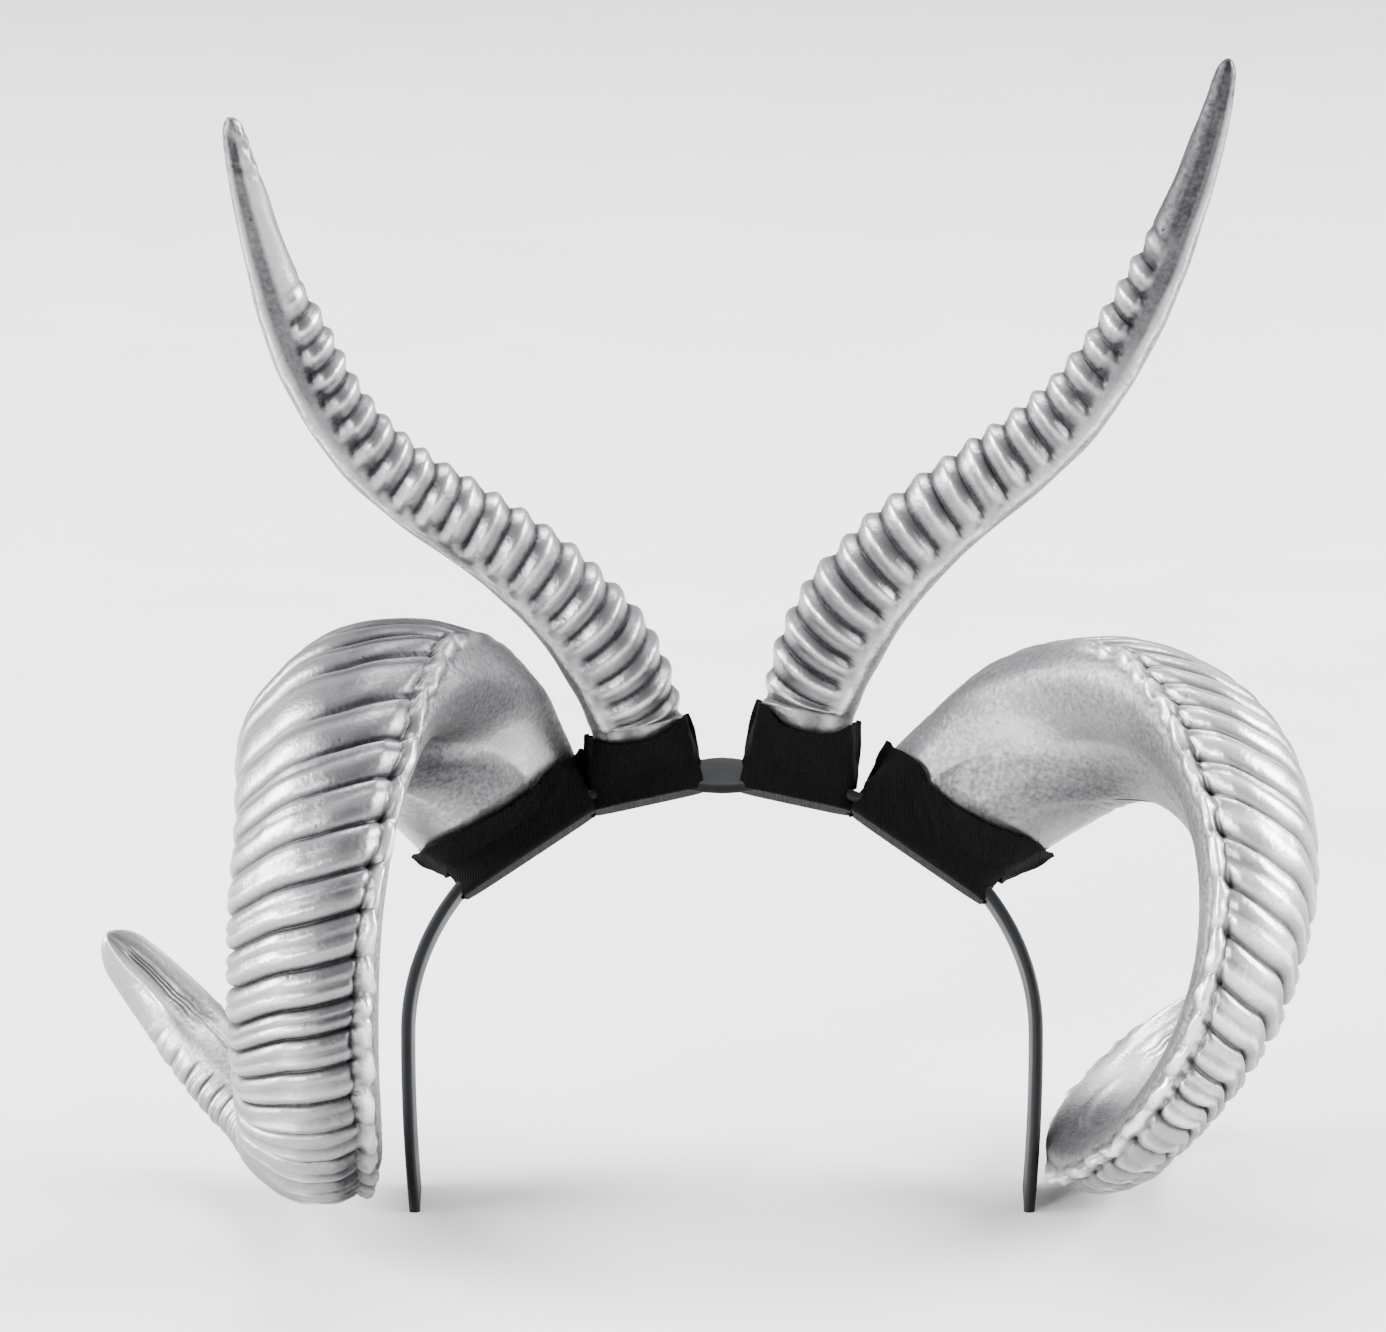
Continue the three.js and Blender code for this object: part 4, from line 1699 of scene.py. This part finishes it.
@dataclass(frozen=True)
class BandPlastic:
    """Dark grey-blue satin plastic with faint scuffs."""

    dark: tuple[float, float, float] = (0.004, 0.0045, 0.006)
    scuffed: tuple[float, float, float] = (0.012, 0.014, 0.017)
    roughness: float = 0.55
    sheen: float = 0.18
    scuff_scale: float = 60
    grain_scale: float = 1500
    bump_share: float = 0.3
    bump_height: float = 0.0002

    def material(self) -> bpy.types.Material:
        """Build the plastic.

        Returns:
            The plastic's material.
        """
        bench = NodeBench("band_plastic")
        broad = bench.grain(self.scuff_scale, 4)
        fine = bench.grain(self.grain_scale, 2)
        tone = bench.sum((broad.outputs["Tone"], 0.5), (fine.outputs["Tone"], 0.2))
        bench.join(bench.mix(tone, self.dark, self.scuffed), bench.shader.inputs["Base Color"])
        bench.shader.inputs["Specular IOR Level"].default_value = self.sheen
        rough = bench.sum((broad.outputs["Tone"], 0.15), base=self.roughness)
        bench.join(rough, bench.shader.inputs["Roughness"])
        bench.bump(fine.outputs["Height"], self.bump_share, self.bump_height)
        return bench.material


@dataclass(frozen=True)
class FloorPaper:
    """Plain pale studio paper."""

    light: tuple[float, float, float] = (0.8, 0.8, 0.79)
    shade: tuple[float, float, float] = (0.76, 0.76, 0.75)
    roughness: float = 0.9
    mottle_scale: float = 12

    def material(self) -> bpy.types.Material:
        """Build the paper.

        Returns:
            The paper's material.
        """
        bench = NodeBench("studio_paper")
        tone = bench.grain(self.mottle_scale, 3).outputs["Tone"]
        bench.join(bench.mix(tone, self.light, self.shade), bench.shader.inputs["Base Color"])
        bench.shader.inputs["Roughness"].default_value = self.roughness
        return bench.material


@dataclass(frozen=True)
class Softbox:
    """One soft studio light, placed about the crown and aimed at it."""

    name: str
    place: tuple[float, float, float]
    size: float
    power: float


@dataclass
class Studio:
    """Floor, lights, surroundings and camera."""

    crown: Vector
    camera_distance: float = 1.6
    camera_lift: float = 15.0
    focal_px: float = 5714.0
    frame_px: tuple[float, float] = (1386.0, 1332.0)
    crown_px: tuple[float, float] = (722.0, 770.0)
    sensor: float = 36.0
    floor_size: float = 14.0
    bright_toward: tuple[float, float, float] = (0, 0.72, 0.6)
    bright_span: tuple[float, float] = (-0.5, 0.8)
    surround: tuple[float, float] = (0.04, 1.0)
    surround_tint: tuple[float, float, float] = (0.96, 0.98, 1.0)
    lights: tuple[Softbox, ...] = field(
        default_factory=lambda: (
            Softbox("left_softbox", (-3.2, 0.0, 1.3), 2.5, 500),
            Softbox("right_softbox", (3.2, 0.15, 1.3), 2.5, 480),
            Softbox("front_softbox", (-1.5, -1.8, 0.7), 0.8, 60),
            Softbox("top_softbox", (0.0, 1.1, 2.8), 1.6, 125),
        )
    )

    def build_floor(self) -> None:
        """Lay the floor under the headband, which isn't part of the object."""
        deselect()
        bpy.ops.mesh.primitive_plane_add(size=self.floor_size)
        floor = bpy.context.object
        floor.name = "studio_floor"
        floor.data.materials.append(FloorPaper().material())

    def light(self) -> None:
        """Place the softboxes and the pale surroundings."""
        for box in self.lights:
            data = bpy.data.lights.new(box.name, "AREA")
            data.shape = "DISK"
            data.size = box.size
            data.energy = box.power
            lamp = bpy.data.objects.new(box.name, data)
            lamp.location = self.crown + Vector(box.place)
            lamp.rotation_euler = (-Vector(box.place)).to_track_quat("-Z", "Y").to_euler()
            bpy.context.scene.collection.objects.link(lamp)
        world = bpy.data.worlds.new("studio_surroundings")
        world.use_nodes = True
        tree = world.node_tree
        heading = tree.nodes.new("ShaderNodeTexCoord")
        toward = tree.nodes.new("ShaderNodeVectorMath")
        toward.operation = "DOT_PRODUCT"
        toward.inputs[1].default_value = self.bright_toward
        ramp = tree.nodes.new("ShaderNodeMapRange")
        ramp.inputs["From Min"].default_value = self.bright_span[0]
        ramp.inputs["From Max"].default_value = self.bright_span[1]
        ramp.inputs["To Min"].default_value = self.surround[0]
        ramp.inputs["To Max"].default_value = self.surround[1]
        tree.links.new(heading.outputs["Generated"], toward.inputs[0])
        tree.links.new(toward.outputs["Value"], ramp.inputs["Value"])
        tree.links.new(ramp.outputs["Result"], tree.nodes["Background"].inputs["Strength"])
        tree.nodes["Background"].inputs["Color"].default_value = (*self.surround_tint, 1)
        bpy.context.scene.world = world

    def place_camera(self) -> None:
        """Set the camera at the photograph's angle and framing."""
        data = bpy.data.cameras.new("photo_camera")
        data.sensor_width = self.sensor
        data.lens = self.focal_px * self.sensor / self.frame_px[0]
        data.shift_x = (self.frame_px[0] / 2 - self.crown_px[0]) / self.frame_px[0]
        data.shift_y = (self.crown_px[1] - self.frame_px[1] / 2) / self.frame_px[0]
        camera = bpy.data.objects.new("photo_camera", data)
        lift = math.radians(self.camera_lift)
        aim = Vector((0, math.cos(lift), -math.sin(lift)))
        camera.location = self.crown - aim * self.camera_distance
        camera.rotation_euler = aim.to_track_quat("-Z", "Y").to_euler()
        bpy.context.scene.collection.objects.link(camera)
        bpy.context.scene.camera = camera


def tall_horns(band: Band) -> list[Horn]:
    """The two tall horns, each turned as it stands on the band.

    Args:
        band: The band that carries them.

    Returns:
        The left horn and the right one.
    """
    left_heading = ((0, 7), (0.2, 36), (0.4, 52), (0.6, 28), (0.8, 13), (1, 8))
    left_inner = (
        (0.02, 0), (0.1, 1.3), (0.2, 1.6), (0.35, 1.6), (0.5, 1), (0.6, 0.6), (0.66, 1.2), (0.71, 1.5),
        (0.77, 0.3), (0.82, 0), (1, 0),
    )
    right_heading = ((0, 10), (0.2, 36), (0.4, 50), (0.6, 29), (0.8, 19), (1, 8.5))
    right_inner = (
        (0.02, 0), (0.085, 2.2), (0.2, 3.8), (0.35, 3.2), (0.48, 2.3), (0.56, 0.8), (0.64, 0), (1, 0),
    )
    left = AntelopeHorn(
        Side.LEFT,
        band,
        root=(-23.4, 0, 9.6),
        lean=20.9,
        seat_x=23,
        heading=left_heading,
        inner_fill=left_inner,
    )
    right = AntelopeHorn(
        Side.RIGHT,
        band,
        root=(23.6, 0, 13.4),
        lean=12.4,
        seat_x=22.8,
        heading=right_heading,
        inner_fill=right_inner,
        tip_shade=1.0,
        tip_rough=0.2,
    )
    return [left, right]


def left_ram_horn(band: Band) -> RamHorn:
    """The left curled horn, with its ribs, fills and patches of painted shade and light where they show.

    Args:
        band: The band that carries it.

    Returns:
        The horn.
    """
    ridge = (
        (0, -45), (0.15, -47), (0.2, -55), (0.25, -65), (0.3, -63), (0.34, -53),
        (0.4, -50), (0.46, -45), (1, -45),
    )
    fill = (
        (0.02, 0), (0.05, 2), (0.08, 4.2), (0.14, 4.0), (0.17, 4.6), (0.2, 1.7), (0.23, -1.2), (0.26, -2.5),
        (0.29, -1.2), (0.32, 1.2), (0.35, 3), (0.4, 5), (0.52, 4.5), (0.62, 1.5), (0.7, 0), (1, 0),
    )
    fill_at = (
        (0, -67), (0.06, -60), (0.11, -47), (0.14, -24), (0.17, 25), (0.2, 69), (0.26, 80), (1, 85),
    )
    grooves = (
        -0.06, -0.02, 0.0, 0.017, 0.033, 0.049, 0.065, 0.081, 0.097, 0.113, 0.128, 0.143, 0.158, 0.173, 0.187,
        0.203, 0.2315, 0.254, 0.2735, 0.294, 0.3145, 0.334, 0.354, 0.3725, 0.387, 0.405, 0.4255, 0.447, 0.472,
        0.497, 0.522, 0.548, 0.575, 0.603, 0.632, 0.662, 0.692, 0.723, 0.755, 0.788, 0.821, 0.855, 0.889,
        0.924, 0.96, 1.0, 1.06,
    )
    keel_lag = ((0.1, -0.036), (0.2, -0.024), (0.3, -0.0085), (0.4, -0.001), (0.5, -0.005), (1, -0.008))
    outer_lag = (
        (0.2, 0), (0.3, 0.004), (0.36, 0.01), (0.4, 0.02), (0.44, 0.022), (0.48, 0.01), (0.52, -0.01), (1, 0),
    )
    patches = (
        PaintedLightPatch(0.055, 0.045, 246, 28, -1.0), PaintedLightPatch(0.18, 0.085, 236, 60, 0.9),
        PaintedLightPatch(0.08, 0.06, 170, 30, 0.6), PaintedLightPatch(0.03, 0.05, 128, 16, -0.4),
        PaintedLightPatch(0.58, 0.22, 262, 36, 0.35), PaintedLightPatch(0.91, 0.085, 215, 80, -0.4),
        PaintedLightPatch(0.19, 0.1, -22, 36, 0.6), PaintedLightPatch(0.54, 0.08, -45, 30, 1.0),
    )
    return RamHorn(
        Side.LEFT,
        band,
        root=(-62.9, -7, -11.2),
        root_inset=(8, 0, 0),
        yaw=-6.7,
        pitch=-0.7,
        roll=-14.6,
        seat_x=56,
        rib_end_drop=0,
        ridge=ridge,
        fill=fill,
        fill_at=fill_at,
        grooves=grooves,
        keel_lag=keel_lag,
        outer_lag=outer_lag,
        dish=3.5,
        keel_shade=0.42,
        patches=patches,
    )


def right_ram_horn(band: Band) -> RamHorn:
    """The right curled horn, whose keel ridge lies flat where the lower curl passes the band's arm.

    Args:
        band: The band that carries it.

    Returns:
        The horn.
    """
    ridge = (
        (0, -45), (0.15, -51), (0.2, -62), (0.25, -69), (0.3, -65), (0.36, -60),
        (0.45, -60), (0.51, -61), (0.58, -52), (0.75, -48), (1, -45),
    )
    fill = (
        (0.02, 0), (0.05, 0.5), (0.08, 1.6), (0.11, 0.5), (0.14, 0), (0.22, 0), (0.26, -1.2), (0.3, -2.2),
        (0.36, -2.4), (0.4, -4.2), (0.45, -5.8), (0.5, -6.2), (0.55, -4), (0.62, -1), (0.7, 0), (1, 0),
    )
    fill_at = (
        (0, -67), (0.11, -48), (0.14, -26), (0.17, 1), (0.2, 18), (0.23, 31), (0.26, 48), (0.3, 64),
        (0.45, 70), (0.5, 60), (0.56, 17), (1, 0),
    )
    grooves = (
        -0.06, -0.02, 0.0, 0.015, 0.03, 0.045, 0.06, 0.075, 0.09, 0.1045, 0.1185, 0.1325, 0.1465, 0.1605,
        0.1745, 0.1885, 0.2025, 0.2165, 0.2305, 0.244, 0.261, 0.278, 0.298, 0.321, 0.344, 0.367, 0.389, 0.411,
        0.43, 0.45, 0.477, 0.51, 0.54, 0.568, 0.597, 0.627, 0.657, 0.688, 0.719, 0.751, 0.783, 0.816, 0.849,
        0.883, 0.917, 0.952, 0.99, 1.06,
    )
    keel_lag = ((0.1, -0.04), (0.2, -0.026), (0.3, -0.012), (0.4, -0.0076), (0.5, -0.008), (1, -0.006))
    outer_lag = (
        (0.1, 0), (0.2, 0.002), (0.3, 0.0137), (0.4, 0.0267), (0.5, 0.039), (0.7, 0.045), (1, 0.03),
    )
    rope_share = ((0, 1), (0.61, 1), (0.64, 0.05), (0.69, 0.05), (0.72, 1), (1, 1))
    patches = (
        PaintedLightPatch(0.06, 0.05, 256, 30, -0.6), PaintedLightPatch(0.12, 0.06, 238, 26, -0.4),
        PaintedLightPatch(0.19, 0.16, 138, 40, 0.4), PaintedLightPatch(0.42, 0.1, 262, 38, 0.65),
        PaintedLightPatch(0.6, 0.11, 225, 74, 0.75), PaintedLightPatch(0.84, 0.11, 225, 74, -0.95),
        PaintedLightPatch(0.32, 0.19, -25, 38, -0.7), PaintedLightPatch(0.25, 0.07, 258, 34, 0.45),
        PaintedLightPatch(0.53, 0.13, 35, 55, 0.2),
    )
    return RamHorn(
        Side.RIGHT,
        band,
        root=(65, -7, -5),
        root_inset=(-5.5, 0, -4),
        yaw=27.2,
        pitch=3.7,
        roll=32.8,
        seat_x=57.5,
        ridge=ridge,
        fill=fill,
        fill_at=fill_at,
        grooves=grooves,
        keel_lag=keel_lag,
        outer_lag=outer_lag,
        rope=KeelRope(share=rope_share),
        patches=patches,
    )


def horns_on(band: Band) -> list[Horn]:
    """The four horns on the band, tall ones first."""
    return [*tall_horns(band), left_ram_horn(band), right_ram_horn(band)]


def put_on(piece: bpy.types.Object, finish: bpy.types.Material, node: str) -> None:
    """Dress a finished piece and set it in the frame.

    Args:
        piece: The new piece.
        finish: Its material.
        node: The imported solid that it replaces.
    """
    piece.data.materials.clear()
    piece.data.materials.append(finish)
    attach(piece, BODY)
    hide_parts(node)
    log.info("%s: %d faces", piece.name, len(piece.data.polygons))


def main() -> None:
    """Build the studio, the band, the horns and their sleeves, and log each piece's face count."""
    logging.basicConfig(level=logging.INFO, format="%(name)s %(message)s")
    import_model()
    band = Band.from_frame()
    studio = Studio(Vector(band.crown * MM))
    studio.place_camera()
    studio.build_floor()
    studio.light()

    silver = SilverPaint().material()
    cloth = SleeveCloth().material()
    plastic = BandPlastic().material()
    strip = band.build("headband_strip")
    put_on(strip, plastic, "headband")
    for horn in horns_on(band):
        foam = horn.build()
        put_on(foam, silver, horn.node)
        sleeve = Sleeve(horn)
        wrapped = sleeve.build()
        put_on(wrapped, cloth, sleeve.node)


if __name__ == "__main__":
    main()
